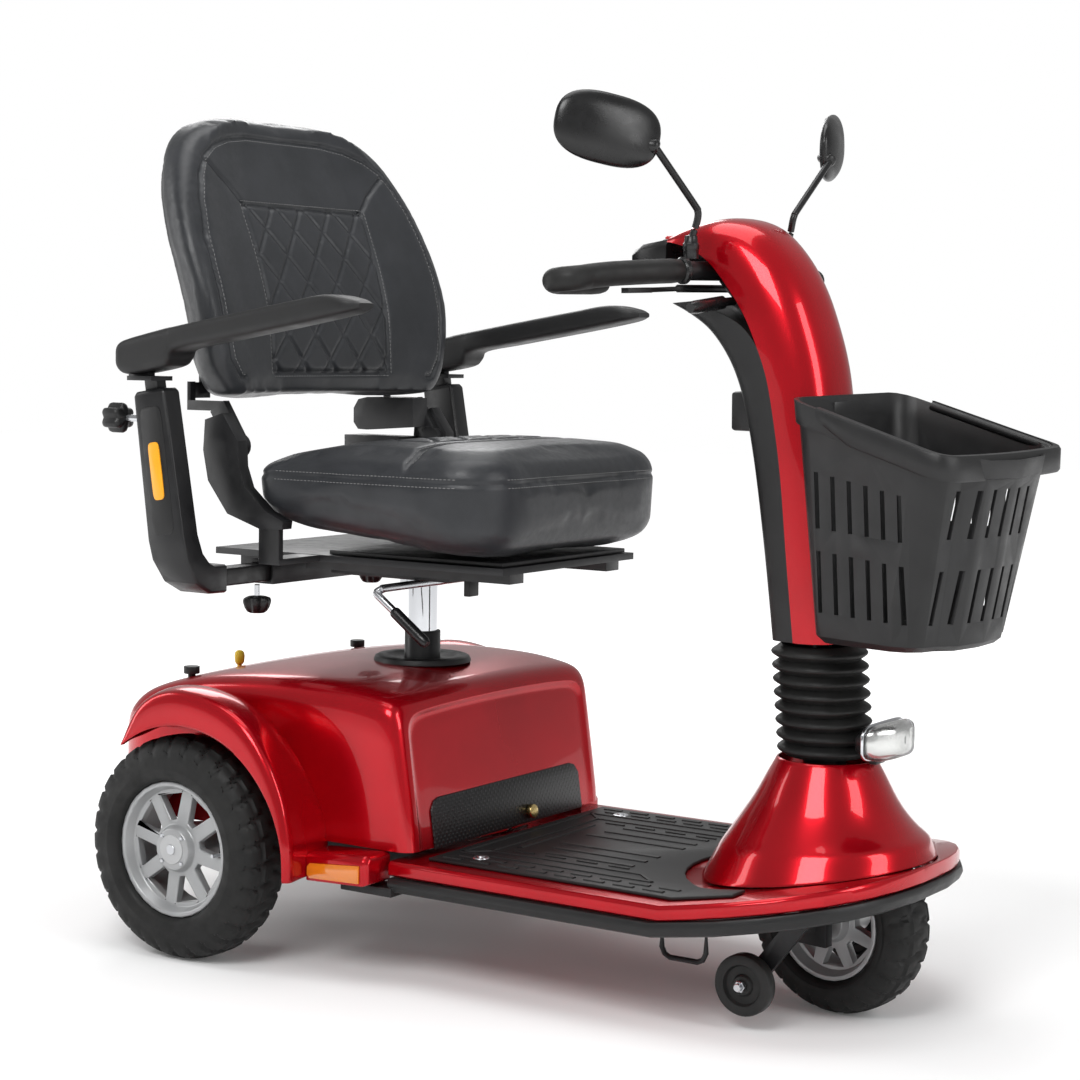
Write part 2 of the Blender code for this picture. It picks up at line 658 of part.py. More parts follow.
# ---------------------------------------------------------------- mirrors
for side, s in (("right", -1), ("left", 1)):
    body = "mirror_" + side
    pivot(body, (0.620, s * 0.0955, 0.8765), "tiller")
    base = rod((0.620, s * 0.0955, 0.8765), (0.621, s * 0.0955, 0.905), 0.0085, 12)
    tip = (0.6275, s * 0.170, 0.998)
    stem = sweep([(0.621, s * 0.0955, 0.900), (0.628, s * 0.0935, 0.924), (0.6285, s * 0.100, 0.934), tip], 0.0042, 8)
    bm = bmesh.new()
    bmesh.ops.create_uvsphere(bm, u_segments=16, v_segments=9, radius=1.0)
    head = new_mesh(bm)
    head.transform(Matrix.Diagonal((0.015, 0.067, 0.041, 1.0)))
    head.transform(Matrix.Rotation(s * 0.20, 4, "X"))
    head.transform(Matrix.Rotation(s * math.radians(27.0), 4, "Z"))
    head.transform(Matrix.Translation((0.5965, s * 0.2180, 1.0185)))
    ball = rod((0.6305, s * 0.1700, 1.0000), (0.6080, s * 0.1830, 1.0050), 0.0085, 10)
    node("mirror_" + side, union(base, stem, ball, head), "black", body)

# ---------------------------------------------------------------- basket
pivot("basket", (0.875, 0, 0.447), "tiller")


def basket_ring(t, inset):
    # t runs from 0 at the floor to 1 at the rim
    x0 = 0.7930 + (0.7725 - 0.7930) * t + inset
    x1 = 0.9370 + (0.9800 - 0.9370) * t - inset
    w0 = 0.0940 + (0.1130 - 0.0940) * t - inset
    w1 = 0.1000 + (0.1210 - 0.1000) * t - inset

    def height(x):
        f = (x - x0) / (x1 - x0)
        return 0.447 + t * ((0.7215 - 0.447) + (0.663 - 0.7215) * f)

    return plan_ring(x0, x1, w0, w1, 0.016 + 0.008 * t, 0.034 + 0.006 * t, height, 0.020, 3)


outer = [basket_ring(t, e) for t, e in ((0.0, 0.006), (0.03, 0.0), (0.90, 0.0), (0.905, -0.003), (1.0, -0.003))]
inner = [basket_ring(t, e) for t, e in ((1.0, 0.001), (0.905, 0.003), (0.03, 0.0032), (0.014, 0.009))]
basket = loft(outer + inner)
hook = box(0.7695, 0.7768, -0.030, 0.030, 0.692, 0.714)
basket = union(basket, hook)
slots = []
for zl, zh, lift in ((0.482, 0.552, 0.25), (0.577, 0.640, 0.55)):
    for k in range(6):
        x = 0.8065 + 0.0225 * k
        drop = 0.007 * k * lift
        slots.append(box(x - 0.003, x + 0.003, -0.16, 0.16, zl - drop * 0.4, zh - drop))
    for k in range(8):
        y = -0.0805 + 0.0230 * k
        slots.append(box(0.925, 1.05, y - 0.003, y + 0.003, zl - 0.004, zh - 0.014))
basket = cut(basket, joined(slots))
node("basket", basket, "black", "basket")

# ---------------------------------------------------------------- rear hood with its fenders
TOP = [(-0.200, 0.241, 0.120, 0.0), (-0.190, 0.266, 0.160, 0.0), (-0.172, 0.288, 0.190, 0.0)]
TOP += [(-0.150, 0.305, 0.207, 0.0), (-0.115, 0.3225, 0.217, 0.0), (-0.050, 0.340, 0.217, 0.0)]
TOP += [(0.030, 0.3505, 0.217, 0.0), (0.120, 0.355, 0.217, 0.0), (0.200, 0.353, 0.217, 0.03)]
TOP += [(0.246, 0.347, 0.217, 0.10), (0.268, 0.342, 0.2145, 0.145), (0.2775, 0.335, 0.207, 0.150)]
TOP += [(0.2805, 0.328, 0.198, 0.150)]


def hood_ring(x, top, w, slope, low, wall):
    w = w - wall
    top = top - wall
    half = [(w, low), (w, top - 0.030), (w - 0.0025, top - 0.018), (w - 0.009, top - 0.008)]
    half += [(w - 0.020, top - 0.002), (w - 0.060, top + 0.001), (w * 0.45, top + 0.003)]
    ring = []
    for y, z in half:
        ring.append((x + slope * (top - z), y, z))
    ring.append((x + slope * (top - (top + 0.004)), 0.0, top + 0.004))
    for y, z in reversed(half):
        ring.append((x + slope * (top - z), -y, z))
    return ring


outer = loft([hood_ring(x, t, w, k, HOOD_LOW, 0.0) for x, t, w, k in TOP])
inside = []
for i, (x, t, w, k) in enumerate(TOP):
    f = i / (len(TOP) - 1)
    inside.append(hood_ring(x + WALL * (1 - 2 * f), t, w, k, HOOD_LOW - 0.02, WALL))
hood = outer
FENDER_X = 0.020
FENDER_Z = 0.135
LIP_R = 0.162
# angle in degrees, radius at the outer ridge, radius at mid width, radius where it meets the side
ARCH = [(-4, 0.171, 0.164, 0.163), (8, 0.172, 0.165, 0.164), (18, 0.1745, 0.167, 0.168)]
ARCH += [(30, 0.181, 0.173, 0.167), (45, 0.190, 0.183, 0.168), (60, 0.201, 0.199, 0.177)]
ARCH += [(75, 0.205, 0.206, 0.186), (90, 0.207, 0.2095, 0.193), (102, 0.2055, 0.2095, 0.199)]
ARCH += [(112, 0.197, 0.202, 0.199), (121, 0.181, 0.188, 0.192), (128, 0.1665, 0.172, 0.180)]


def fender_ring(side, degrees, ridge, middle, root):
    a = math.radians(degrees)
    outer = [(LIP_R, 0.3055), (max(ridge - 0.016, LIP_R + 0.002), 0.3065), (ridge - 0.004, 0.3035)]
    outer += [(ridge, 0.2970), ((ridge + middle) / 2 + 0.001, 0.2830), (middle, 0.2620), (root, 0.2145)]
    inner = [(root - 0.0045, 0.2145), (middle - 0.0045, 0.2610), ((ridge + middle) / 2 - 0.0035, 0.2820)]
    inner += [(ridge - 0.0045, 0.2940), (ridge - 0.0065, 0.2985), (max(ridge - 0.018, LIP_R + 0.0005), 0.3020)]
    inner += [(LIP_R - 0.0005, 0.3015)]
    ring = []
    for r, y in outer + inner:
        ring.append((FENDER_X + r * math.cos(a), side * y, FENDER_Z + r * math.sin(a)))
    return ring


for s in (-1, 1):
    fender = loft([fender_ring(s, *row) for row in ARCH])
    rings = []
    for x, z0, z1, y1 in ((0.184, 0.1200, 0.1555, 0.262), (0.2700, 0.1235, 0.1605, 0.262), (0.2770, 0.1265, 0.1575, 0.258)):
        ring = [(x, s * 0.2140, z0), (x, s * y1, z0), (x, s * y1, z1 - 0.006), (x, s * (y1 - 0.006), z1)]
        rings.append(ring + [(x, s * 0.2140, z1)])
    hood = union(hood, fender, loft(rings))
hood = cut(hood, loft(inside))
hood = cut(hood, rod((POST_X, 0, 0.30), (POST_X, 0, 0.40), 0.030, 24))
hood = cut(hood, box(-0.118, -0.066, -0.0565, -0.0435, 0.28, 0.38))
node("rear_hood", hood, "red", "chassis")

for side, s in (("right", -1), ("left", 1)):
    rings = []
    for x, z0, z1 in ((0.1885, 0.1285, 0.1385), (0.1925, 0.1245, 0.1430), (0.2670, 0.1275, 0.1490)):
        rings.append([(x, s * 0.2624, z0), (x, s * 0.2660, z0), (x, s * 0.2660, z1), (x, s * 0.2624, z1)])
    node("side_reflector_" + side, loft(rings), "amber", "chassis")
    knob = lathe([(0.0, 0.0), (0.0, 0.0050), (0.006, 0.0050), (0.006, 0.0105), (0.0155, 0.0105), (0.0155, 0.0)], 14, None, "Z")
    knob.transform(Matrix.Translation((-0.0790, s * 0.1745, 0.3346)))
    node("hood_knob_" + side, knob, "black", "chassis")

pivot("freewheel_lever", (-0.105, -0.050, 0.215), "chassis")
lever = lathe([(0.0, 0.0), (0.0, 0.0032), (0.128, 0.0032), (0.130, 0.0060), (0.138, 0.0070), (0.144, 0.0050), (0.146, 0.0)], 12, None, "Z")
lever.transform(Matrix.Translation((-0.105, -0.050, 0.2105)))
node("freewheel_lever", lever, "yellow", "freewheel_lever")

panel = []
for z, w in ((0.158, 0.166), (0.205, 0.166), (0.216, 0.158), (0.219, 0.148)):
    x = 0.2805 + 0.150 * (0.328 - z) + 0.0006
    panel.append([(x, -w, z), (x + 0.003, -w, z), (x + 0.003, w, z), (x, w, z)])
node("kick_panel", loft(panel), "rubber", "chassis")
latch_x = 0.2805 + 0.150 * (0.328 - 0.178) + 0.0045
node("tray_latch", rod((latch_x, 0.042, 0.172), (latch_x + 0.008, 0.042, 0.1732), 0.009, 14), "brass", "chassis")

# ---------------------------------------------------------------- drive parts inside the hood
p = [(-0.290, 0.0), (-0.290, 0.010), (-0.206, 0.010), (-0.206, 0.022), (-0.060, 0.022), (-0.055, 0.050)]
p += [(0.000, 0.055), (0.055, 0.050), (0.060, 0.022), (0.206, 0.022), (0.206, 0.010), (0.290, 0.010), (0.290, 0.0)]
axle = lathe(p, 20, (0, 0, REAR_R))
motor = rod((-0.030, -0.012, 0.150), (-0.165, -0.012, 0.158), 0.042, 20)
boss = rod((-0.105, -0.050, 0.160), (-0.105, -0.050, 0.2100), 0.008, 10)
node("transaxle", union(axle, motor, boss), "steel", "chassis")
node("battery_pack", box(0.196, 0.268, -0.165, 0.165, 0.156, 0.300), "black", "chassis")

# ---------------------------------------------------------------- seat post
p = [(0.1330, 0.0), (0.1330, 0.0235), (0.4005, 0.0235), (0.4005, POST_R + 0.0003), (0.165, POST_R + 0.0003), (0.165, 0.0)]
node("seat_tube", lathe(p, 24, (POST_X, 0, 0), "Z"), "black", "chassis")
p = [(0.3602, 0.0240), (0.3602, 0.0600), (0.3630, 0.0635), (0.3680, 0.0610), (0.3690, 0.0480), (0.3650, 0.0400), (0.3645, 0.0240)]
node("post_bezel", lathe(p, 28, (POST_X, 0, 0), "Z"), "black", "chassis")
pivot("seat_post", (POST_X, 0, 0.4005), "chassis")
p = [(0.235, 0.0), (0.235, POST_R), (0.461, POST_R), (0.461, 0.030), (0.4740, 0.030), (0.4740, 0.0)]
node("seat_post", lathe(p, 24, (POST_X, 0, 0), "Z"), "chrome", "seat_post")
pivot("seat_swivel", (POST_X, 0, 0.4745), "seat_post")
plate = box(0.075, 0.262, -0.080, 0.080, 0.4745, 0.4840)
node("swivel_base", plate, "steel", "seat_swivel")
pivot("swivel_lever", (0.207, 0, 0.4690), "seat_swivel")
lp = [(0.207, 0.064, 0.4690), (0.207, -0.126, 0.4690), (0.203, -0.137, 0.4675), (0.197, -0.142, 0.4625)]
lp += [(0.206, -0.143, 0.4555), (0.224, -0.143, 0.4425), (0.226, -0.143, 0.4410), (0.2760, -0.143, 0.4045)]
node("swivel_lever", sweep(lp, [0.0052] * 6 + [0.0072] * 2, 10), "steel", "swivel_lever")

# ---------------------------------------------------------------- seat carriage with arm receivers and side brackets
pivot("seat", (POST_X, 0, 0.4843), "seat_swivel")
# tube centre x and z, outer end and inner end of each armrest socket
ARM_TUBE = {"right": (0.0085, 0.4765, -0.1390, 0.0500), "left": (-0.0350, 0.4900, 0.1390, -0.1080)}
pieces = [box(0.070, 0.385, s * 0.110 - 0.015, s * 0.110 + 0.015, 0.4843, 0.4980) for s in (-1, 1)]
pieces.append(box(-0.060, 0.392, -0.150, 0.150, 0.4970, 0.5055))
for side, (x, z, y0, y1) in ARM_TUBE.items():
    pieces.append(box(x - 0.0185, x + 0.0185, min(y0, y1), max(y0, y1), z - 0.0152, z + 0.0152))
pieces.append(box(-0.0540, 0.0270, -0.1040, 0.1040, 0.4790, 0.5000))
for s in (-1, 1):
    side = []
    line = [(0.006, 0.678, 0.030), (0.017, 0.642, 0.058), (0.022, 0.607, 0.054), (0.043, 0.574, 0.044)]
    line += [(0.086, 0.5520, 0.024), (0.118, 0.5470, 0.010)]
    for i, (x, z, w) in enumerate(line):
        a = line[max(i - 1, 0)]
        b = line[min(i + 1, len(line) - 1)]
        d = Vector((b[0] - a[0], 0, b[1] - a[1])).normalized()
        n = Vector((-d.z, 0, d.x)) * (w / 2)
        q = Vector((x, 0, z))
        y0 = s * 0.2115
        y1 = s * 0.2300
        ring = []
        for sign, y in ((-1, y0), (1, y0), (1, y1), (-1, y1)):
            c = q + n * sign
            ring.append((c.x, y, c.z))
        side.append(ring)
    pieces.append(loft(side))
    y0, y1 = sorted((s * 0.140, s * 0.2280))
    pieces.append(box(0.078, 0.112, y0, y1, 0.4972, 0.5050))
    y0, y1 = sorted((s * 0.2200, s * 0.2285))
    pieces.append(box(0.079, 0.111, y0, y1, 0.5000, 0.5520))
pieces.append(box(-0.1000, -0.0040, 0.1680, 0.2125, 0.6180, 0.6420))
carriage = union(pieces[0], *pieces[1:])
for side, (x, z, y0, y1) in ARM_TUBE.items():
    s = 1 if y0 > 0 else -1
    ya, yb = sorted((s * 0.300, -s * 0.040))
    carriage = cut(carriage, box(x - 0.0150, x + 0.0150, ya, yb, z - 0.0120, z + 0.0120))
node("seat_carriage", carriage, "steel", "seat")
pivot("slide_lever", (0.304, -0.090, 0.4825), "seat")
node("slide_lever", box(0.2995, 0.3085, -0.100, -0.080, 0.4620, 0.4830), "black", "slide_lever")


def cushion_low(x):
    f = (x - 0.055) / 0.36
    return 0.574 - 0.062 * min(max(f, 0.0), 1.0)


def crown(x, high):
    # the top dips towards the backrest
    f = min(max((x - 0.05) / 0.16, 0.0), 1.0)
    return 0.607 + (high - 0.607) * (0.54 + 0.46 * f * f * (3 - 2 * f))


rings = []
for inset, up in ((0.030, 0.0), (0.010, 0.006), (0.001, 0.020)):
    ring = plan_ring(0.052 + inset, 0.415 - inset, 0.225 - inset, 0.222 - inset, 0.030, 0.052, lambda x: cushion_low(x) + up, 0.0, 4)
    rings.append(ring)
for inset, high in ((0.0, 0.607), (0.003, 0.624), (0.011, 0.637), (0.035, 0.646), (0.085, 0.651)):
    corner = max(0.052 - inset * 0.3, 0.02)
    ring = plan_ring(0.052 + inset, 0.415 - inset, 0.225 - inset, 0.222 - inset, corner - 0.018, corner, lambda x: crown(x, high), 0.0, 4)
    rings.append(ring)
cushion = loft(rings)
node("seat_cushion", cushion, "leather", "seat")
node("cushion_board", box(0.120, 0.385, -0.140, 0.140, 0.5060, 0.5115), "black", "seat")

# ---------------------------------------------------------------- backrest
pivot("backrest", (PIVOT_X, 0, PIVOT_Z), "seat")
PAD = [(0.700, 0.205, 0.030), (0.706, 0.224, 0.032), (0.742, 0.246, 0.031), (0.807, 0.257, 0.026), (0.865, 0.260, 0.011)]
PAD += [(0.910, 0.256, -0.006), (0.960, 0.243, -0.027), (0.998, 0.224, -0.044), (1.026, 0.204, -0.056)]
PAD += [(1.048, 0.170, -0.063), (1.061, 0.130, -0.068), (1.068, 0.080, -0.074)]


def pad_ring(z, w, front_x, thick=0.074):
    hollow = 0.020 * min(1.0, w / 0.24)
    back_x = front_x - thick
    r = 0.014
    pts = [(front_x - r, w), (front_x - 0.004, w - 0.004), (front_x, w - r), (front_x - hollow, w * 0.45)]
    mid = [(front_x - hollow - 0.002, 0.0)]
    rear = [(back_x + 0.030, w - 0.004), (back_x + 0.008, w - 0.020), (back_x - 0.002, w - 0.060), (back_x - 0.006, w * 0.4)]
    ring = [(x, y, z) for x, y in pts]
    ring += [(x, y, z) for x, y in mid]
    ring += [(x, -y, z) for x, y in reversed(pts)]
    ring += [(x, -y, z) for x, y in rear]
    ring += [(x, y, z) for x, y in reversed(rear)]
    return ring


rings = []
for i, (z, w, fx) in enumerate(PAD):
    thick = 0.074
    if i in (0, len(PAD) - 1):
        thick = 0.050
    elif i == len(PAD) - 2:
        thick = 0.064
    rings.append(pad_ring(z, w, fx, thick))
node("backrest_pad", loft(rings), "leather", "backrest")

shell = []
for z, x in ((0.7060, -0.0502), (0.742, -0.0502), (0.807, -0.0555), (0.865, -0.0715), (0.910, -0.0885), (0.950, -0.1090)):
    w = 0.190
    shell.append([(x - 0.004, -w, z), (x, -w, z), (x, w, z), (x - 0.004, w, z)])
pieces = [loft(shell)]
for s in (-1, 1):
    y0, y1 = sorted((s * 0.1990, s * 0.2108))
    pieces.append(rod((PIVOT_X, y0, PIVOT_Z), (PIVOT_X, y1, PIVOT_Z), 0.0150, 18))
    pieces.append(bar((PIVOT_X - 0.001, s * 0.2050, PIVOT_Z + 0.002), (-0.006, s * 0.2050, 0.690), 0.0109, 0.026, (1, 0, 0)))
    pieces.append(box(-0.0560, 0.0060, s * 0.2050 - 0.0050, s * 0.2050 + 0.0050, 0.6840, 0.6964))
    pieces.append(box(-0.0562, -0.0506, s * 0.2050 - 0.0047, s * 0.2050 + 0.0047, 0.6850, 0.7200))
    y0, y1 = sorted((s * 0.1720, s * 0.2093))
    pieces.append(box(-0.0564, -0.0508, y0, y1, 0.6990, 0.7190))
cover = []
for x, z0, z1 in ((-0.0840, 0.6600, 0.6800), (-0.0760, 0.6505, 0.6925), (-0.0600, 0.6500, 0.6960), (0.0200, 0.6560, 0.6960)):
    cover.append([(x, 0.1680, z0), (x, 0.2010, z0), (x, 0.2010, z1), (x, 0.1680, z1)])
pieces.append(loft(cover))
node("backrest_frame", union(pieces[0], *pieces[1:]), "black", "backrest")

# ---------------------------------------------------------------- armrests
LEAN = Vector((-0.1543, 0.0, 0.9880))
ARM_TOP = 0.7060
ARM_TOP_X = -0.0245
SADDLE_Z = 0.7225


def lean_x(z):
    # x of the armrest upright's middle at height z
    return ARM_TOP_X + (z - ARM_TOP) * LEAN.x / LEAN.z


def lean_bar(y, z0, z1, along_x, along_y):
    a = (lean_x(z0), y, z0)
    b = (lean_x(z1), y, z1)
    return bar(a, b, along_y, along_x, (1, 0, 0))


def arm_rings(s, tube_x, tube_z, tube_end):
    down = -LEAN
    y = s * ARM_Y
    low = tube_z
    line = [((lean_x(0.7110), y, 0.7110), down, 0.044, 0.026), ((lean_x(0.7060), y, 0.7060), down, 0.051, 0.030)]
    line.append(((lean_x(0.530), y, 0.5300), down, 0.058, 0.031))
    line.append(((0.0070, s * 0.2965, low + 0.030), (0, -s * 0.30, -0.95), 0.059, 0.033))
    line.append(((tube_x * 0.4 + 0.0055, s * 0.2820, low + 0.0100), (0, -s * 0.70, -0.70), 0.058, 0.035))
    line.append(((tube_x * 0.7 + 0.0035, s * 0.2640, low + 0.0010), (0, -s, -0.20), 0.055, 0.036))
    line.append(((tube_x, s * 0.2350, tube_z), (0, -s, 0), 0.050, 0.036))
    line.append(((tube_x, s * 0.2345, tube_z), (0, -s, 0), 0.0290, 0.0230))
    line.append(((tube_x, tube_end, tube_z), (0, -s, 0), 0.0290, 0.0230))
    rings = []
    for p, d, wide, high in line:
        d = Vector(d).normalized()
        side = Vector((0, 1, 0)) if abs(d.z) > 0.98 else Vector((0, -d.z, d.y))
        if side.y < 0:
            side = -side
        if s > 0 and abs(d.z) < 0.5:
            side = Vector((0, -d.z, d.y))
        across = Vector((1, 0, 0)) if abs(d.x) < 0.01 else Vector((-d.z, 0, d.x))
        c = Vector(p)
        ring = []
        b = 0.14
        for u, v in ((-1, -1 + b), (-1 + b, -1), (1 - b, -1), (1, -1 + b), (1, 1 - b), (1 - b, 1), (-1 + b, 1), (-1, 1 - b)):
            ring.append(c + across * (u * wide / 2) + side * (v * high / 2))
        rings.append(ring)
    return rings


PAD_LINE = [(-0.0655, 0.7430, 0.7600, 0.018), (-0.0600, 0.7340, 0.7685, 0.0255), (-0.0450, 0.7295, 0.7745, 0.0262)]
PAD_LINE += [(0.0100, 0.7385, 0.7865, 0.0262), (0.0220, 0.7460, 0.7885, 0.0262), (0.0340, 0.7605, 0.7905, 0.0262)]
PAD_LINE += [(0.1000, 0.7720, 0.8020, 0.0262), (0.2000, 0.7890, 0.8190, 0.0262), (0.2560, 0.7990, 0.8275, 0.0262)]
PAD_LINE += [(0.2900, 0.8060, 0.8235, 0.0240), (0.3060, 0.8115, 0.8180, 0.0140)]
for side, s in (("right", -1), ("left", 1)):
    tube_x, tube_z, outer_end, inner_end = ARM_TUBE[side]
    body = "arm_" + side
    y = s * ARM_Y
    pivot(body, (tube_x, s * 0.2345, tube_z), "seat")
    upright = loft(arm_rings(s, tube_x, tube_z, s * 0.0100))
    upright = cut(upright, lean_bar(y, 0.565, 0.730, 0.0210, 0.0170))
    node("arm_upright_" + side, upright, "black", body)
    post_body = "arm_post_" + side
    pivot(post_body, (lean_x(ARM_TOP), y, ARM_TOP), body)
    inner = lean_bar(y, 0.580, SADDLE_Z + 0.002, 0.0200, 0.0160)
    yc = s * 0.3090
    saddle = box(-0.0480, -0.0080, yc - 0.0190, yc + 0.0190, SADDLE_Z, 0.7280)
    tongue = box(-0.0575, -0.0250, yc - 0.0060, yc + 0.0060, SADDLE_Z + 0.0005, 0.7400)
    lug = box(-0.0574, -0.0376, yc - 0.0059, yc + 0.0059, 0.7300, 0.7500)
    eye = rod((-0.0475, yc - 0.0060, 0.7500), (-0.0475, yc + 0.0060, 0.7500), 0.0100, 14)
    node("arm_post_" + side, union(inner, saddle, tongue, lug, eye), "black", post_body)
    pad_body = "arm_pad_" + side
    pivot(pad_body, (-0.0475, yc, 0.7500), post_body)
    rings = []
    for x, low, top, w in PAD_LINE:
        e = min(0.005, (top - low) * 0.35)
        ring = [(x, yc - w + e, low), (x, yc + w - e, low), (x, yc + w, low + e), (x, yc + w, top - e)]
        ring += [(x, yc + w - e, top), (x, yc - w + e, top), (x, yc - w, top - e), (x, yc - w, low + e)]
        rings.append(ring)
    pad = cut(loft(rings), box(-0.080, -0.0180, yc - 0.0072, yc + 0.0072, 0.700, 0.7665))
    node("arm_pad_" + side, pad, "black", pad_body)
    knob_body = "arm_height_knob_" + side
    at = (lean_x(0.675) - 0.0270, y, 0.6750)
    pivot(knob_body, at, body)
    shape = [(0.0, 0.0), (0.0, 0.0045), (0.0260, 0.0045), (0.0280, 0.0130), (0.0340, 0.0190), (0.0520, 0.0190)]
    shape += [(0.0560, 0.0150), (0.0560, 0.0)]
    stud = lathe(shape, 12, None, "Z")
    stud.transform(Matrix.Translation(at) @ Matrix.Rotation(-math.pi / 2, 4, "Y"))
    node(knob_body, stud, "black", knob_body)
    knob_body = "arm_width_knob_" + side
    at = (tube_x, s * 0.1480, tube_z - 0.0156)
    pivot(knob_body, at, "seat")
    shape = [(0.0, 0.0), (0.0, 0.0040), (0.0150, 0.0040), (0.0160, 0.0180), (0.0220, 0.0190), (0.0350, 0.0130)]
    shape += [(0.0370, 0.0080), (0.0370, 0.0)]
    stud = lathe(shape, 12, None, "Z")
    stud.transform(Matrix.Translation(at) @ Matrix.Rotation(math.pi, 4, "Y"))
    node(knob_body, stud, "black", knob_body)

# ---------------------------------------------------------------- headlight, anti-tip wheels
rings = []
for x, w, low, top in ((0.8105, 0.050, 0.312, 0.340), (0.8230, 0.056, 0.307, 0.346), (0.8400, 0.044, 0.306, 0.349), (0.8530, 0.022, 0.312, 0.346)):
    e = 0.006
    ring = [(x, -w + e, low), (x, w - e, low), (x, w, low + e), (x, w, top - e)]
    rings.append(ring + [(x, w - e, top), (x, -w + e, top), (x, -w, top - e), (x, -w, low + e)])
lamp = union(loft(rings), box(0.8130, 0.8200, -0.012, 0.012, 0.2975, 0.3120))
node("headlight", lamp, "clear", "chassis")

for side, s in (("right", -1), ("left", 1)):
    body = "antitip_wheel_" + side
    at = Vector((TIP_X, s * TIP_Y, TIP_Z))
    pivot(body, at, "chassis")
    p = [(-0.0080, 0.0049), (-0.0080, 0.0110), (-0.0040, 0.0130), (-0.0040, 0.0220), (-0.0088, 0.0240)]
    p += [(-0.0088, 0.0330), (-0.0060, 0.0357), (0.0060, 0.0357), (0.0088, 0.0330), (0.0088, 0.0240)]
    p += [(0.0040, 0.0220), (0.0040, 0.0130), (0.0080, 0.0110), (0.0080, 0.0049)]
    node(body, lathe(p, 24, at), "rubber", body)

# ---------------------------------------------------------------- centre the box over the origin
bpy.context.view_layer.update()
low = Vector((9, 9, 9))
high = Vector((-9, -9, -9))
for ob in PARTS.objects:
    if ob.type != "MESH":
        continue
    for v in ob.data.vertices:
        w = ob.matrix_world @ v.co
        for i in range(3):
            low[i] = min(low[i], w[i])
            high[i] = max(high[i], w[i])
SHIFT = Vector((-(low.x + high.x) / 2, -(low.y + high.y) / 2, -low.z))
root.location = SHIFT
bpy.context.view_layer.update()
print("size", [round(v, 4) for v in (high - low)])
print("shift", [round(v, 6) for v in SHIFT])
for name, (e, at) in PIVOTS.items():
    print("axis", name, [round(v, 5) for v in e.matrix_world.translation])
    turn = e.matrix_world.to_3x3()
    print("     ", name, [[round(v, 5) for v in turn @ Vector(a)] for a in ((1, 0, 0), (0, 1, 0), (0, 0, 1))])
print("steer axis", [round(v, 5) for v in STEER_AXIS])
print("nodes", len([o for o in PARTS.objects if o.type == "MESH"]))
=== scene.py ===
# Looks of a three-wheeled mobility scooter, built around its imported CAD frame.
# Shapes are drawn in the drawing frame: x = 0 at the rear axle, ground at z = 0, in metres.
# SHIFT moves them to the row frame, and STEERED also turns what is mounted on the steering
# column to its rest angle.
import json
import math

import bmesh
import bpy
from mathutils import Matrix, Quaternion, Vector
from mathutils.bvhtree import BVHTree


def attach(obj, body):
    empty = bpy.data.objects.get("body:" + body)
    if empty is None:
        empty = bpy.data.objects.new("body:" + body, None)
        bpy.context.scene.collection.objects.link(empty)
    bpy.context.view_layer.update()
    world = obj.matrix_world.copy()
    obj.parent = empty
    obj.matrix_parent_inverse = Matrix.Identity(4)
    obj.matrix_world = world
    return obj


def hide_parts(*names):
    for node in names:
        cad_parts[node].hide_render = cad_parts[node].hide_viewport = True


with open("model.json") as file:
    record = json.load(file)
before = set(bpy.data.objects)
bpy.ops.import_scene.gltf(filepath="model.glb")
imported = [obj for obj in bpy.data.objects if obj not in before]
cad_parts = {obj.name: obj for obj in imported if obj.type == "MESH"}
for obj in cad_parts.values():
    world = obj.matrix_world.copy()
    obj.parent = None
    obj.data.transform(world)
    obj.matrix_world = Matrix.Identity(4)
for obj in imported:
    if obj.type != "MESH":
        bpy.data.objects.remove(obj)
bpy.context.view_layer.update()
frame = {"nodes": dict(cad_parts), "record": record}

SHIFT = Vector((-0.401448, 0.0, 0.00023))
FRONT_R = 0.1108
FRONT_X = 0.7746
STEER_TILT = math.radians(9.0)
STEER_REST = math.radians(-8.0)
STEER_AT = Vector((FRONT_X + 0.0034, 0.0, FRONT_R))
STEER_AXIS = Vector((-math.sin(STEER_TILT), 0.0, math.cos(STEER_TILT)))
TURN = Quaternion(STEER_AXIS, STEER_REST).to_matrix().to_4x4()
FIXED = Matrix.Translation(SHIFT)
STEERED = Matrix.Translation(SHIFT + STEER_AT) @ TURN @ Matrix.Translation(-STEER_AT)

REAR_R = 0.140
REAR_W = 0.079
REAR_Y = 0.2685
RIM_R = 0.0855
FRONT_W = 0.077
FRONT_RIM_R = 0.069
CONE_X = 0.752
RISE_X = 0.66
RISE = 0.17
ARM_Y = 0.3005
LEAN = Vector((-0.1543, 0.0, 0.9880))
ARM_TOP = 0.7060
ARM_TOP_X = -0.0245

scene = bpy.context.scene


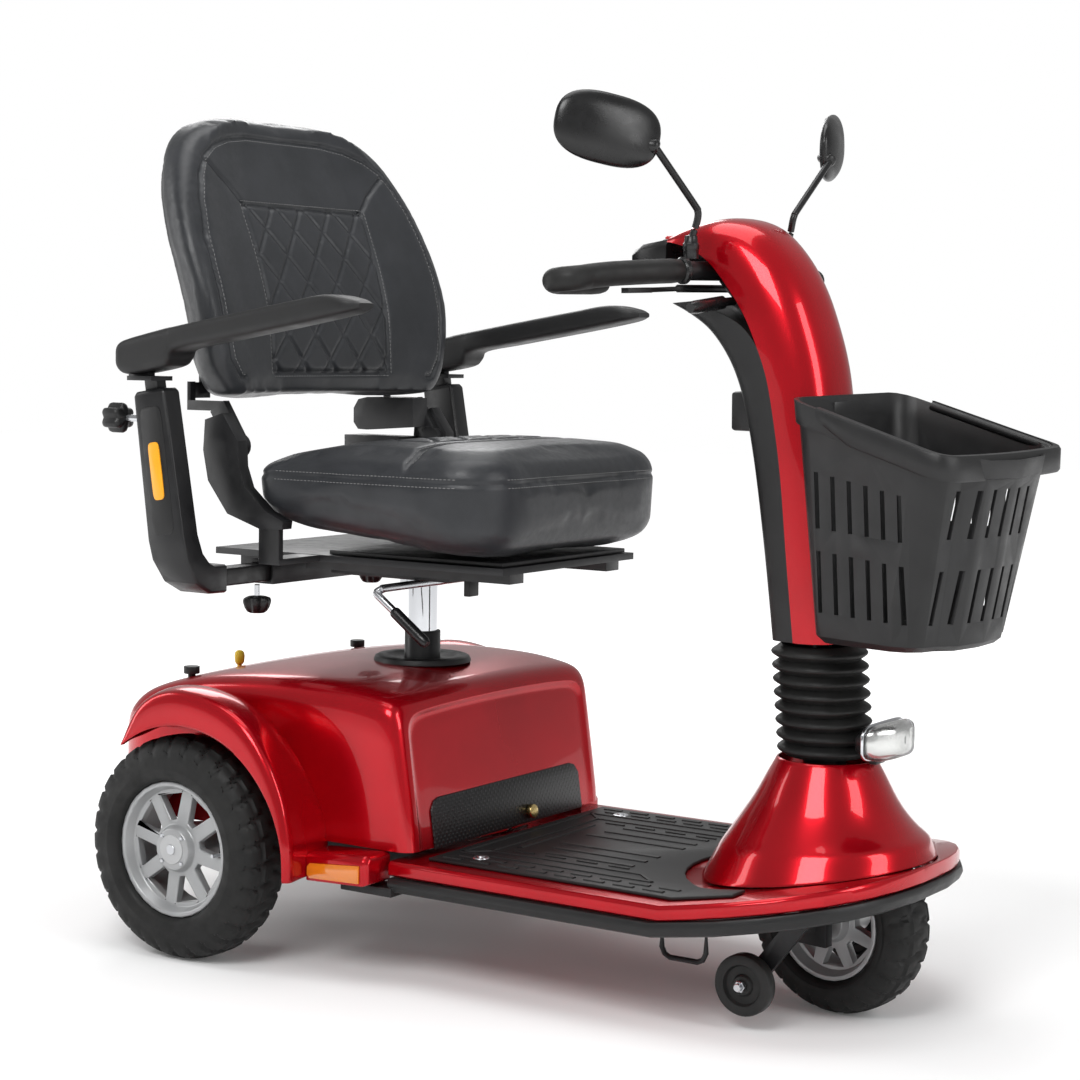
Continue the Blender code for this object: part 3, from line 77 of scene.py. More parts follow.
# ---------------------------------------------------------------- materials
class Look:
    # A node-based material under construction: a Principled shader plus helpers for its patterns.
    def __init__(self, name, color, rough, metal=0.0):
        self.mat = bpy.data.materials.new(name)
        self.mat.use_nodes = True
        self.mat.diffuse_color = (*color, 1.0)
        self.tree = self.mat.node_tree
        self.shader = self.tree.nodes["Principled BSDF"]
        self.shader.inputs["Base Color"].default_value = (*color, 1.0)
        self.shader.inputs["Roughness"].default_value = rough
        self.shader.inputs["Metallic"].default_value = metal
        self.where = self.add("ShaderNodeTexCoord").outputs["Object"]
        self.heights = []

    def add(self, kind):
        return self.tree.nodes.new(kind)

    def link(self, a, b):
        self.tree.links.new(a, b)

    def noise(self, scale, detail=4.0, rough=0.55):
        n = self.add("ShaderNodeTexNoise")
        n.inputs["Scale"].default_value = scale
        n.inputs["Detail"].default_value = detail
        n.inputs["Roughness"].default_value = rough
        self.link(self.where, n.inputs["Vector"])
        return n.outputs["Fac"]

    def cells(self, scale, feature="F1"):
        n = self.add("ShaderNodeTexVoronoi")
        n.feature = feature
        n.inputs["Scale"].default_value = scale
        self.link(self.where, n.inputs["Vector"])
        return n.outputs["Distance"]

    def span(self, value, low, high, a, b):
        n = self.add("ShaderNodeMapRange")
        for key, v in zip(("From Min", "From Max", "To Min", "To Max"), (low, high, a, b)):
            n.inputs[key].default_value = v
        self.link(value, n.inputs["Value"])
        return n.outputs["Result"]

    def vary_color(self, value, a, b):
        n = self.add("ShaderNodeMix")
        n.data_type = "RGBA"
        n.inputs[6].default_value = (*a, 1.0)
        n.inputs[7].default_value = (*b, 1.0)
        self.link(value, n.inputs[0])
        self.link(n.outputs[2], self.shader.inputs["Base Color"])

    def vary_rough(self, value, a, b):
        self.link(self.span(value, 0.3, 0.7, a, b), self.shader.inputs["Roughness"])

    def bump(self, value, strength, distance):
        n = self.add("ShaderNodeBump")
        n.inputs["Strength"].default_value = strength
        n.inputs["Distance"].default_value = distance
        self.link(value, n.inputs["Height"])
        if self.heights:
            self.link(self.heights[-1], n.inputs["Normal"])
        self.heights.append(n.outputs["Normal"])
        self.link(n.outputs["Normal"], self.shader.inputs["Normal"])

    def set(self, **values):
        for key, v in values.items():
            self.shader.inputs[key.replace("_", " ")].default_value = v


def edge_wear(look, base, worn, amount):
    # convex edges a little paler, where hands and shoes rub the finish
    geo = look.add("ShaderNodeNewGeometry")
    worn_mask = look.span(geo.outputs["Pointiness"], 0.51, 0.60, 0.0, amount)
    look.vary_color(worn_mask, base, worn)


def paint_red():
    k = Look("candy_red_paint", (0.42, 0.0008, 0.007), 0.25, 0.64)
    k.set(Coat_Weight=0.5, Coat_Roughness=0.03, Specular_IOR_Level=0.15)
    cloudy = k.span(k.noise(9.0, 3.0), 0.35, 0.65, 0.0, 1.0)
    k.vary_color(cloudy, (0.39, 0.0005, 0.006), (0.45, 0.0010, 0.008))
    k.bump(k.noise(70.0, 2.0), 0.03, 0.0006)
    return k.mat


def moulded_black(name="moulded_black_plastic", tone=0.0065, rough=0.42, grain=1400.0, strength=0.25):
    base = (tone, tone, tone * 1.05)
    k = Look(name, base, rough)
    edge_wear(k, base, (tone * 2.2, tone * 2.2, tone * 2.3), 0.6)
    k.set(Specular_IOR_Level=0.38)
    k.vary_rough(k.noise(35.0), rough - 0.07, rough + 0.10)
    k.bump(k.cells(grain), strength, 0.0003)
    k.bump(k.noise(18.0, 2.0), 0.05, 0.001)
    return k.mat


def powder_coat():
    k = Look("black_powder_coat", (0.006, 0.006, 0.0065), 0.36, 0.0)
    edge_wear(k, (0.006, 0.006, 0.0065), (0.022, 0.022, 0.024), 0.5)
    k.set(Specular_IOR_Level=0.36)
    k.vary_rough(k.noise(50.0), 0.30, 0.46)
    k.bump(k.noise(700.0, 2.0), 0.18, 0.0003)
    return k.mat


def rubber(name, tone, rough=0.75, grain=500.0):
    k = Look(name, (tone, tone, tone), rough)
    dusty = (tone * 1.5, tone * 1.48, tone * 1.42)
    k.vary_color(k.span(k.noise(14.0, 5.0), 0.35, 0.7, 0.0, 1.0), (tone * 0.8,) * 3, dusty)
    k.set(Specular_IOR_Level=0.32)
    k.vary_rough(k.noise(60.0), rough - 0.1, min(rough + 0.12, 1.0))
    k.bump(k.noise(grain, 3.0), 0.2, 0.0004)
    return k.mat


def leather():
    k = Look("charcoal_leather", (0.017, 0.0185, 0.022), 0.40)
    worn = k.span(k.noise(22.0, 6.0), 0.35, 0.7, 0.0, 1.0)
    k.vary_color(worn, (0.0155, 0.017, 0.0195), (0.0225, 0.024, 0.0275))
    k.vary_rough(k.noise(120.0), 0.33, 0.46)
    k.set(Sheen_Weight=0.03, Specular_IOR_Level=0.4)
    k.bump(k.cells(520.0, "DISTANCE_TO_EDGE"), 0.35, 0.0004)
    k.bump(k.noise(60.0, 5.0), 0.15, 0.0012)
    return k.mat


def metal(name, color, rough, grain=220.0, strength=0.05):
    k = Look(name, color, rough, 1.0)
    k.vary_rough(k.noise(40.0), max(rough - 0.04, 0.02), rough + 0.07)
    k.bump(k.noise(grain, 2.0), strength, 0.0003)
    return k.mat


def wheel_paint():
    k = Look("silver_wheel_paint", (0.34, 0.345, 0.35), 0.36, 0.35)
    edge_wear(k, (0.33, 0.335, 0.34), (0.5, 0.5, 0.51), 0.5)
    k.set(Coat_Weight=0.4, Coat_Roughness=0.15)
    k.bump(k.noise(900.0, 2.0), 0.08, 0.0002)
    return k.mat


def plain(name, color, rough, **more):
    k = Look(name, color, rough)
    k.vary_rough(k.noise(30.0), max(rough - 0.04, 0.02), rough + 0.06)
    k.bump(k.noise(300.0, 2.0), 0.05, 0.0003)
    k.set(**more)
    return k.mat


def mat_rubber():
    # floor mat with a fine pebbled grain; its raised ribs are geometry
    k = Look("moulded_mat_rubber", (0.010, 0.010, 0.0105), 0.5)
    scuffed = k.span(k.noise(16.0, 5.0), 0.3, 0.7, 0.0, 1.0)
    k.vary_color(scuffed, (0.008, 0.008, 0.0085), (0.014, 0.014, 0.014))
    k.set(Specular_IOR_Level=0.35)
    k.bump(k.cells(900.0), 0.25, 0.0003)
    return k.mat


DIMPLE_PITCH = 0.0085


def dimpled():
    # kick panel: a staggered grid of small round dimples across its face
    k = Look("dimpled_black_plastic", (0.007, 0.007, 0.0075), 0.4)
    split = k.add("ShaderNodeSeparateXYZ")
    k.link(k.where, split.inputs["Vector"])
    waves = []
    for axis in "YZ":
        n = k.add("ShaderNodeMath")
        n.operation = "MULTIPLY"
        n.inputs[1].default_value = 2 * math.pi / DIMPLE_PITCH
        k.link(split.outputs[axis], n.inputs[0])
        c = k.add("ShaderNodeMath")
        c.operation = "COSINE"
        k.link(n.outputs[0], c.inputs[0])
        waves.append(c.outputs[0])
    m = k.add("ShaderNodeMath")
    m.operation = "MULTIPLY"
    k.link(waves[0], m.inputs[0])
    k.link(waves[1], m.inputs[1])
    k.bump(k.span(m.outputs[0], 0.25, 0.75, 0.0, 1.0), 0.8, 0.0012)
    k.bump(k.noise(500.0), 0.1, 0.0003)
    return k.mat


RED = paint_red()
DIMPLED = dimpled()
BLACK = moulded_black()
GRAIN = moulded_black("armrest_grain", 0.008, 0.48, 900.0, 0.4)
GLOSS = moulded_black("satin_black_plastic", 0.006, 0.26, 2600.0, 0.08)
COAT = powder_coat()
RUBBER = rubber("black_rubber", 0.0065, 0.55)
TYRE = rubber("tyre_rubber", 0.0075, 0.6, 380.0)
TIP = rubber("grey_wheel_rubber", 0.013, 0.5)
MAT = mat_rubber()
LEATHER = leather()
THREAD = plain("stitch_thread", (0.16, 0.16, 0.16), 0.7)
SILVER = wheel_paint()
CAP = plain("hub_cap", (0.42, 0.425, 0.43), 0.32)
CHROME = metal("chrome", (0.56, 0.57, 0.59), 0.07)
ZINC = metal("zinc_plated", (0.52, 0.53, 0.55), 0.28)
BRASS = metal("latch_brass", (0.62, 0.47, 0.20), 0.24)
MIRROR = metal("mirror_glass", (0.88, 0.90, 0.92), 0.015, 40.0, 0.0)
AMBER = plain("amber_reflector", (0.85, 0.24, 0.012), 0.12, Transmission_Weight=0.25, Coat_Weight=1.0)
ORANGE = plain("orange_marker", (0.86, 0.36, 0.008), 0.35)
YELLOW = plain("yellow_lever", (0.80, 0.55, 0.03), 0.35)
BUTTON = plain("red_button", (0.62, 0.01, 0.012), 0.25, Coat_Weight=0.8)
LENS = plain("clear_lens", (0.97, 0.98, 0.99), 0.03, Transmission_Weight=0.95, IOR=1.12, Coat_Weight=0.6)
REFLECTOR = metal("lamp_reflector", (0.62, 0.62, 0.60), 0.22)
LED = plain("led_dome", (0.20, 0.20, 0.19), 0.12, Coat_Weight=1.0)


# ---------------------------------------------------------------- mesh helpers
def squarish(count, half_u, half_v, power_u, power_v, phase=0.0):
    # Points round a superellipse: the smaller the powers, the squarer it is.
    points = []
    for k in range(count):
        a = 2 * math.pi * (k + phase) / count
        c, q = math.cos(a), math.sin(a)
        u = math.copysign(abs(c) ** power_u, c) * half_u
        v = math.copysign(abs(q) ** power_v, q) * half_v
        points.append((u, v))
    return points


def make(bm):
    # Closes a bmesh into a mesh with its faces pointing out.
    bmesh.ops.remove_doubles(bm, verts=bm.verts, dist=0.00001)
    bmesh.ops.recalc_face_normals(bm, faces=bm.faces)
    me = bpy.data.meshes.new("m")
    bm.to_mesh(me)
    bm.free()
    return me


def loft(rings, loop=False, caps=True):
    # Skin over closed rings of points, with a cap at each end or joined end to end.
    bm = bmesh.new()
    rows = [[bm.verts.new(p) for p in ring] for ring in rings]
    n = len(rows[0])
    last = len(rows) if loop else len(rows) - 1
    for i in range(last):
        a = rows[i]
        b = rows[(i + 1) % len(rows)]
        for k in range(n):
            bm.faces.new((a[k], a[(k + 1) % n], b[(k + 1) % n], b[k]))
    if caps and not loop:
        bm.faces.new(list(reversed(rows[0])))
        bm.faces.new(rows[-1])
    return make(bm)


def sheet(rows, thick):
    # Open grid of points given a thickness inwards, as one closed skin.
    bm = bmesh.new()
    grid = [[bm.verts.new(p) for p in row] for row in rows]
    for a, b in zip(grid[:-1], grid[1:]):
        for k in range(len(a) - 1):
            bm.faces.new((a[k], a[k + 1], b[k + 1], b[k]))
    bm.normal_update()
    bmesh.ops.solidify(bm, geom=list(bm.faces), thickness=thick)
    return make(bm)


def dense(rings, per, closed=False):
    # Catmull-Rom in-between rings, so that a few drawn sections give a smooth skin.
    out = []
    count = len(rings)
    last = count if closed else count - 1
    for i in range(last):
        near = [(i + d) % count if closed else min(max(i + d, 0), count - 1) for d in (-1, 0, 1, 2)]
        p = [rings[n] for n in near]
        for j in range(per):
            t = j / per
            row = []
            for a, b, c, d in zip(*p):
                a, b, c, d = Vector(a), Vector(b), Vector(c), Vector(d)
                q = 2 * b + (c - a) * t + (2 * a - 5 * b + 4 * c - d) * t * t
                row.append((q + (3 * b - a - 3 * c + d) * t ** 3) * 0.5)
            out.append(row)
    if not closed:
        out.append([Vector(v) for v in rings[-1]])
    return out


def path_dense(points, per, closed=False):
    return [r[0] for r in dense([[p] for p in points], per, closed)]


def lathe(profile, steps, axis="Y", loop=False):
    # Turn an (along, radius) outline; an open outline ends on the axis.
    bm = bmesh.new()
    rows = []
    for along, radius in profile:
        row = []
        for k in range(1 if radius == 0.0 else steps):
            t = 2.0 * math.pi * k / steps
            c, s = radius * math.cos(t), radius * math.sin(t)
            row.append(bm.verts.new((c, along, s) if axis == "Y" else (c, s, along)))
        rows.append(row)
    total = len(rows) if loop else len(rows) - 1
    for i in range(total):
        a, b = rows[i], rows[(i + 1) % len(rows)]
        for k in range(steps):
            j = (k + 1) % steps
            if len(a) == 1 and len(b) == 1:
                continue
            if len(a) == 1:
                bm.faces.new((a[0], b[j], b[k]))
            elif len(b) == 1:
                bm.faces.new((a[k], a[j], b[0]))
            else:
                bm.faces.new((a[k], a[j], b[j], b[k]))
    return make(bm)


def sweep(points, radius, steps=16, flat=1.0):
    pts = [Vector(p) for p in points]
    rings = []
    ref = Vector((0, 0, 1))
    for i, p in enumerate(pts):
        d = (pts[min(i + 1, len(pts) - 1)] - pts[max(i - 1, 0)]).normalized()
        if abs(d.dot(ref)) > 0.95:
            ref = Vector((1, 0, 0)) if abs(d.x) < 0.8 else Vector((0, 1, 0))
        side = d.cross(ref).normalized()
        top = side.cross(d).normalized()
        r = radius[i] if isinstance(radius, (list, tuple)) else radius
        ring = []
        for k in range(steps):
            t = 2 * math.pi * k / steps
            ring.append(p + side * (r * math.cos(t)) + top * (r * flat * math.sin(t)))
        rings.append(ring)
    return loft(rings)


def rod(p0, p1, radius, steps=24, edge=0.0008):
    a, b = Vector(p0), Vector(p1)
    n = (b - a).length
    e = min(edge, n * 0.3, radius * 0.4)
    me = lathe([(0, 0), (0, radius - e), (e, radius), (n - e, radius), (n, radius - e), (n, 0)], steps, "Z")
    q = Vector((0, 0, 1)).rotation_difference(b - a)
    me.transform(Matrix.Translation(a) @ q.to_matrix().to_4x4())
    return me


def merged(*meshes):
    bm = bmesh.new()
    for me in meshes:
        bm.from_mesh(me)
    out = bpy.data.meshes.new("m")
    bm.to_mesh(out)
    bm.free()
    return out


def bake(ob):
    # Apply every modifier.
    deps = bpy.context.evaluated_depsgraph_get()
    deps.update()
    me = bpy.data.meshes.new_from_object(ob.evaluated_get(deps))
    ob.modifiers.clear()
    ob.data = me
    return ob


def add(name, me, mat, body, at=FIXED, replaces=(), subdivide=0, bevel=0.0, angle=35.0):
    # Puts a finished mesh in the scene: at moves it to the row frame, body is what it rides on.
    ob = bpy.data.objects.new(name, me)
    scene.collection.objects.link(ob)
    me.transform(at)
    if bevel:
        m = ob.modifiers.new("bevel", "BEVEL")
        m.width = bevel
        m.segments = 2
        m.limit_method = "ANGLE"
        m.angle_limit = math.radians(32)
        m.use_clamp_overlap = True
    if subdivide:
        m = ob.modifiers.new("fine", "SUBSURF")
        m.levels = subdivide
        m.render_levels = subdivide
    if bevel or subdivide:
        bake(ob)
    ob.data.materials.clear()
    ob.data.materials.append(mat)
    for p in ob.data.polygons:
        p.use_smooth = True
        p.material_index = 0
    ob.data.set_sharp_from_angle(angle=math.radians(angle))
    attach(ob, body)
    if replaces:
        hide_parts(*replaces)
    return ob


BODY_OF = {n: b for b, ns in frame["record"]["behaviour"]["bodies"].items() for n in ns}


def refined(node, mat, bevel=0.0012, angle=35.0):
    # The CAD shape as it is, with its flat facets merged and its hard edges rounded over.
    me = frame["nodes"][node].data.copy()
    bm = bmesh.new()
    bm.from_mesh(me)
    bmesh.ops.remove_doubles(bm, verts=bm.verts, dist=0.00002)
    bmesh.ops.dissolve_limit(bm, angle_limit=math.radians(2.0), verts=bm.verts, edges=bm.edges)
    bm.to_mesh(me)
    bm.free()
    return add(node + "_skin", me, mat, BODY_OF[node], at=Matrix.Identity(4), replaces=(node,),
               bevel=bevel, angle=angle)


# ---------------------------------------------------------------- CAD shapes with rounded edges
COATED = ("frame", "front_fork", "transaxle", "seat_tube", "seat_carriage", "tiller_column")
for node in COATED + ("swivel_base",):
    refined(node, COAT, 0.0009)
for node in ("arm_post_right", "arm_post_left", "backrest_frame"):
    refined(node, COAT, 0.0008)
refined("deck_pan", RED, 0.0022)
refined("deck_bumper", BLACK, 0.0012, 50)
refined("battery_pack", BLACK, 0.003)
refined("cushion_board", BLACK, 0.001)
refined("slide_lever", BLACK, 0.001)
refined("kick_panel", DIMPLED, 0.001)
refined("throttle_lever", BLACK, 0.001)
refined("hood_knob_right", BLACK, 0.0006)
refined("hood_knob_left", BLACK, 0.0006)
refined("console", GLOSS, 0.002)
refined("side_reflector_right", AMBER, 0.0008)
refined("side_reflector_left", AMBER, 0.0008)
refined("floor_mat", MAT, 0.0012)
refined("tray_latch", BRASS, 0.001)


def rise(x):
    return RISE * max(0.0, x - RISE_X)


# ---------------------------------------------------------------- wheels
def tyre(radius, width, bead, blocks, depth):
    # Carcass with a block tread: two rows of blocks beside a centre groove, and shoulder lugs.
    h = width / 2
    p = [
        (-h + 0.010, bead), (-h + 0.003, bead + 0.004), (-h, bead + 0.014),
        (-h + 0.0005, radius - 0.034), (-h + 0.003, radius - 0.019), (-h + 0.008, radius - 0.0095),
        (-h + 0.016, radius - 0.0035), (-0.012, radius), (0.012, radius),
        (h - 0.016, radius - 0.0035), (h - 0.008, radius - 0.0095), (h - 0.003, radius - 0.019),
        (h - 0.0005, radius - 0.034), (h, bead + 0.014), (h - 0.003, bead + 0.004),
        (h - 0.010, bead),
    ]
    fine = [(v.x, v.y) for v in path_dense([(a, b, 0) for a, b in p], 5)]
    steps = blocks * 8
    rings = []
    for k in range(steps):
        t = 2 * math.pi * k / steps
        ring = []
        for a, r in fine:
            edge = (radius - r) / 0.024
            cut = 0.0
            if edge < 1.0:
                side = 1 if a > 0 else -1
                turn = (k / 8.0 + (0.5 if side > 0 else 0.0) + abs(a) * 14.0) % 1.0
                gap = 1.0 if turn < 0.24 else 0.0
                middle = 1.0 if abs(a) < 0.0022 else 0.0
                rail = 1.0 if abs(abs(a) - 0.0185) < 0.0016 else 0.0
                cut = depth * max(gap, middle, rail * 0.8) * (1.0 - max(0.0, edge - 0.75) * 4.0)
            elif 0.0006 < r - (bead + 0.018) < 0.0030:
                cut = -0.0008
            q = r - cut
            ring.append((q * math.cos(t), a, q * math.sin(t)))
        rings.append(ring)
    return loft(rings, loop=True)


for side, s in (("right", -1), ("left", 1)):
    at = FIXED @ Matrix.Translation((0, s * REAR_Y, REAR_R))
    body = "rear_wheel_" + side
    me = tyre(REAR_R, REAR_W, RIM_R + 0.0004, 30, 0.0036)
    add("tyre_rear_" + side, me, TYRE, body, at=at, replaces=("rear_tyre_" + side,))
    refined("rear_rim_" + side, SILVER, 0.0022)
    cap = rod((0, s * 0.0300, 0), (0, s * 0.0320, 0), 0.0185, 40, 0.0009)
    add("hub_cap_" + side, cap, CAP, body, at=at)
    nut = [rod((0, s * 0.0318, 0), (0, s * 0.0333, 0), 0.0065, 20)]
    for k in range(4):
        a = 2 * math.pi * (k + 0.5) / 4
        x, z = 0.0225 * math.cos(a), 0.0225 * math.sin(a)
        nut.append(rod((x, s * 0.0298, z), (x, s * 0.0325, z), 0.0030, 6))
    valve = [(0.070, s * 0.012, 0.0), (0.066, s * 0.024, 0.0), (0.0655, s * 0.0300, 0.0)]
    nut.append(sweep(valve, 0.0024, 10))
    add("wheel_nuts_" + side, merged(*nut), ZINC, body, at=at)

at = STEERED @ Matrix.Translation((FRONT_X, 0, FRONT_R))
me = tyre(FRONT_R, FRONT_W, FRONT_RIM_R + 0.0004, 26, 0.0032)
add("tyre_front", me, TYRE, "front_wheel", at=at, replaces=("front_tyre",))
refined("front_rim", SILVER, 0.0018)

for side, s in (("right", -1), ("left", 1)):
    at = FIXED @ Matrix.Translation((0.726, s * 0.1412, 0.0537))
    p = [
        (-0.0080, 0.0049), (-0.0080, 0.0105), (-0.0070, 0.0115), (-0.0045, 0.0130),
        (-0.0040, 0.0150), (-0.0040, 0.0215), (-0.0055, 0.0228), (-0.0083, 0.0238),
        (-0.0088, 0.0250), (-0.0088, 0.0325), (-0.0080, 0.0346), (-0.0058, 0.0357),
        (0.0058, 0.0357), (0.0080, 0.0346), (0.0088, 0.0325), (0.0088, 0.0250), (0.0083, 0.0238),
        (0.0055, 0.0228), (0.0040, 0.0215), (0.0040, 0.0150), (0.0045, 0.0130), (0.0070, 0.0115),
        (0.0080, 0.0105), (0.0080, 0.0049),
    ]
    body = "antitip_wheel_" + side
    add("tip_wheel_" + side, lathe(p, 48, "Y", True), TIP, body, at=at, replaces=(body,))
    head = rod((0, s * 0.0090, 0), (0, s * 0.0150, 0), 0.0072, 6)
    bolt = merged(head, rod((0, s * 0.0148, 0), (0, s * 0.0195, 0), 0.0048, 16))
    add("tip_axle_nut_" + side, bolt, ZINC, "chassis", at=at)

WASHER = [
    (0.0, 0.0), (0.0, 0.0105), (0.0012, 0.0100), (0.0018, 0.0080), (0.0014, 0.0050),
    (0.0026, 0.0042), (0.0028, 0.0),
]
for side, s in (("right", -1), ("left", 1)):
    washer = lathe(WASHER, 36, "Z")
    at = FIXED @ Matrix.Translation((0.373, s * 0.161, 0.1553))
    add("mat_washer_" + side, washer, ZINC, "chassis", at=at)


def rib(a, b, width, high=0.0014):
    # one raised rib of the mat from a to b, with sloping sides
    d = (Vector(b) - Vector(a)).normalized()
    side = Vector((-d.y, d.x))
    rings = []
    for q in (Vector(a), Vector(b)):
        ring = []
        for u, z in ((-0.5, 0.1549), (-0.36, 0.1554 + high), (0.36, 0.1554 + high), (0.5, 0.1549)):
            c = q + side * (u * width)
            ring.append((c.x, c.y, z))
        rings.append(ring)
    return loft(rings)


ribs = []
for s in (-1, 1):
    for k in range(8):
        x = 0.335 + 0.040 * k
        ribs.append(rib((x, s * 0.183), (x + 0.026, s * 0.183), 0.008))
        ribs.append(rib((x + 0.012, s * 0.166), (x + 0.038, s * 0.166), 0.008))
    ribs.append(rib((0.335, s * 0.148), (0.605, s * 0.148), 0.005))
    ribs.append(rib((0.362, s * 0.122), (0.575, s * 0.122), 0.005))
    ribs.append(rib((0.335, s * 0.148), (0.362, s * 0.122), 0.005))
    ribs.append(rib((0.575, s * 0.122), (0.605, s * 0.148), 0.005))
    for y in (0.030, 0.060, 0.090):
        ribs.append(rib((0.395 + 0.3 * y, s * y), (0.545, s * y), 0.009))
    for k in range(4):
        x = 0.385 + 0.045 * k
        ribs.append(rib((x, s * 0.105), (x + 0.028, s * 0.105), 0.004))
ribs.append(rib((0.335, -0.148), (0.335, 0.148), 0.005))
ribs.append(rib((0.362, -0.122), (0.362, 0.122), 0.005))
ribs.append(rib((0.378, -0.085), (0.378, 0.085), 0.009))
add("mat_ribs", merged(*ribs), MAT, "chassis", angle=30)

# ---------------------------------------------------------------- rear hood
TOP = [
    (-0.200, 0.241, 0.120, 0.0), (-0.190, 0.266, 0.160, 0.0), (-0.172, 0.288, 0.190, 0.0),
    (-0.150, 0.305, 0.207, 0.0), (-0.115, 0.3225, 0.217, 0.0), (-0.050, 0.340, 0.217, 0.0),
    (0.030, 0.3505, 0.217, 0.0), (0.120, 0.355, 0.217, 0.0), (0.200, 0.353, 0.217, 0.03),
    (0.246, 0.347, 0.217, 0.10), (0.268, 0.342, 0.2145, 0.145), (0.2775, 0.335, 0.207, 0.150),
    (0.2805, 0.328, 0.198, 0.150),
]
HOOD_LOW = 0.154
# the front wall leans: its x at height z is FACE_X + FACE_SLOPE * (FACE_TOP - z)
FACE_X = 0.2782
FACE_TOP = 0.328
FACE_SLOPE = 0.150


def hood_half(x, top, w, slope):
    half = [
        (w, HOOD_LOW), (w, top - 0.030), (w - 0.0012, top - 0.020), (w - 0.0055, top - 0.0105),
        (w - 0.0135, top - 0.0045), (w - 0.026, top - 0.0010), (w - 0.060, top + 0.001),
        (w * 0.45, top + 0.003),
    ]
    return [(x + slope * (top - z), y, z) for y, z in half]


rows = []
for x, top, w, slope in TOP:
    half = hood_half(x, top, w, slope)
    middle = [(x - slope * 0.004, 0.0, top + 0.004)]
    rows.append(half + middle + [(a, -b, c) for a, b, c in reversed(half)])
front = rows[-1]
for f in (0.985, 0.95, 0.86, 0.6, 0.3, 0.02):
    row = []
    for x, y, z in front:
        low = HOOD_LOW + (z - HOOD_LOW) * f
        row.append((FACE_X + 0.0018 * (f > 0.97) + FACE_SLOPE * (FACE_TOP - low), y * f, low))
    rows.append(row)
hood = sheet(dense(rows, 4), -0.0035)
add("hood_skin", hood, RED, "chassis", replaces=("rear_hood",), subdivide=1, angle=60)

FENDER_X = 0.020
FENDER_Z = 0.135
LIP_R = 0.162
ARCH = [
    (-4, 0.171, 0.164, 0.163), (8, 0.172, 0.165, 0.164), (18, 0.1745, 0.167, 0.168),
    (30, 0.181, 0.173, 0.167), (45, 0.190, 0.183, 0.168), (60, 0.201, 0.199, 0.177),
    (75, 0.205, 0.206, 0.186), (90, 0.207, 0.2095, 0.193), (102, 0.2055, 0.2095, 0.199),
    (112, 0.197, 0.202, 0.199), (121, 0.181, 0.188, 0.192), (128, 0.1665, 0.172, 0.180),
]
STEP = [
    (0.184, 0.1200, 0.1555, 0.262), (0.2700, 0.1235, 0.1605, 0.262),
    (0.2770, 0.1265, 0.1575, 0.258),
]
for side, s in (("right", -1), ("left", 1)):
    # fender: one outline, from lip over ridge to root, at each angle round the wheel arch
    rows = []
    for degrees, ridge, middle, root in ARCH:
        a = math.radians(degrees)
        line = [
            (LIP_R, 0.3050), (LIP_R + 0.0008, 0.3062), (max(ridge - 0.016, LIP_R + 0.002), 0.3065),
            (max(ridge - 0.006, LIP_R + 0.003), 0.3048), (ridge - 0.002, 0.3010), (ridge, 0.2955),
            ((ridge + middle) / 2 + 0.001, 0.2830), (middle, 0.2620),
            ((middle + root) / 2 + 0.001, 0.2380), (root, 0.2190), (root - 0.001, 0.2140),
        ]
        c, q = math.cos(a), math.sin(a)
        rows.append([(FENDER_X + r * c, s * y, FENDER_Z + r * q) for r, y in line])
    fender = sheet(dense(rows, 4), 0.0035)
    add("fender_" + side, fender, RED, "chassis", subdivide=1, angle=60)
    rings = []
    for x, z0, z1, y1 in STEP:
        ring = [
            (x, s * 0.2140, z0), (x, s * y1, z0), (x, s * y1, z1 - 0.006),
            (x, s * (y1 - 0.006), z1),
        ]
        rings.append(ring + [(x, s * 0.2140, z1)])
    add("step_" + side, loft(rings), RED, "chassis", bevel=0.002, angle=40)


# ---------------------------------------------------------------- front cone
def cone_ring(radius, z, inset=0.0):
    # z below 1 is a share of the skirt's height; from 1 up it is 1 plus the height in metres
    ring = []
    for k in range(72):
        t = 2 * math.pi * k / 72
        c = math.cos(t)
        base = 0.1524 + rise(CONE_X + 0.125 * c)
        if z < 1.0:
            height = base + z * (0.235 - base)
            r = radius - 0.0075 * c * (1.0 - z)
            # the skirt swells out below a crease across the front
            r += max(0.0, c) ** 1.5 * 0.006 * math.exp(-((z - 0.42) / 0.22) ** 2)
        else:
            height = z - 1.0
            r = radius
        r -= inset
        ring.append((CONE_X + r * c, r * math.sin(t), height))
    return ring


levels = [
    (0.1375, 0.0), (0.1365, 0.03), (0.1300, 0.20), (0.1225, 0.40), (0.1190, 0.50), (0.1125, 0.62),
    (0.1078, 0.72), (0.0950, 0.985), (0.0830, 1.252), (0.0735, 1.271), (0.0660, 1.285),
    (0.0610, 1.2935), (0.0585, 1.2985),
]
outer = [cone_ring(r, z) for r, z in levels]
inner = [cone_ring(r, z, 0.003) for r, z in reversed(levels)]
add("cone_skin", loft(outer + inner, True), RED, "chassis", replaces=("front_shroud",), subdivide=1,
    angle=60)

# ---------------------------------------------------------------- rubber boot
FOLDS = 8
profile = []
for k in range(FOLDS * 8 + 1):
    t = k / 8.0
    swell = 0.5 - 0.5 * math.cos(2 * math.pi * t)
    profile.append((0.0160 * t, 0.0472 + 0.0094 * swell ** 0.75))
profile += [(0.1300, 0.0440), (0.0, 0.0440)]
boot = lathe(profile, 56, "Z", True)
for v in boot.vertices:
    v.co.x += 0.7505 - v.co.z * 0.088
    v.co.z += 0.3015
add("steering_boot", boot, RUBBER, "steering", at=STEERED, replaces=("steering_bellows",), angle=60)


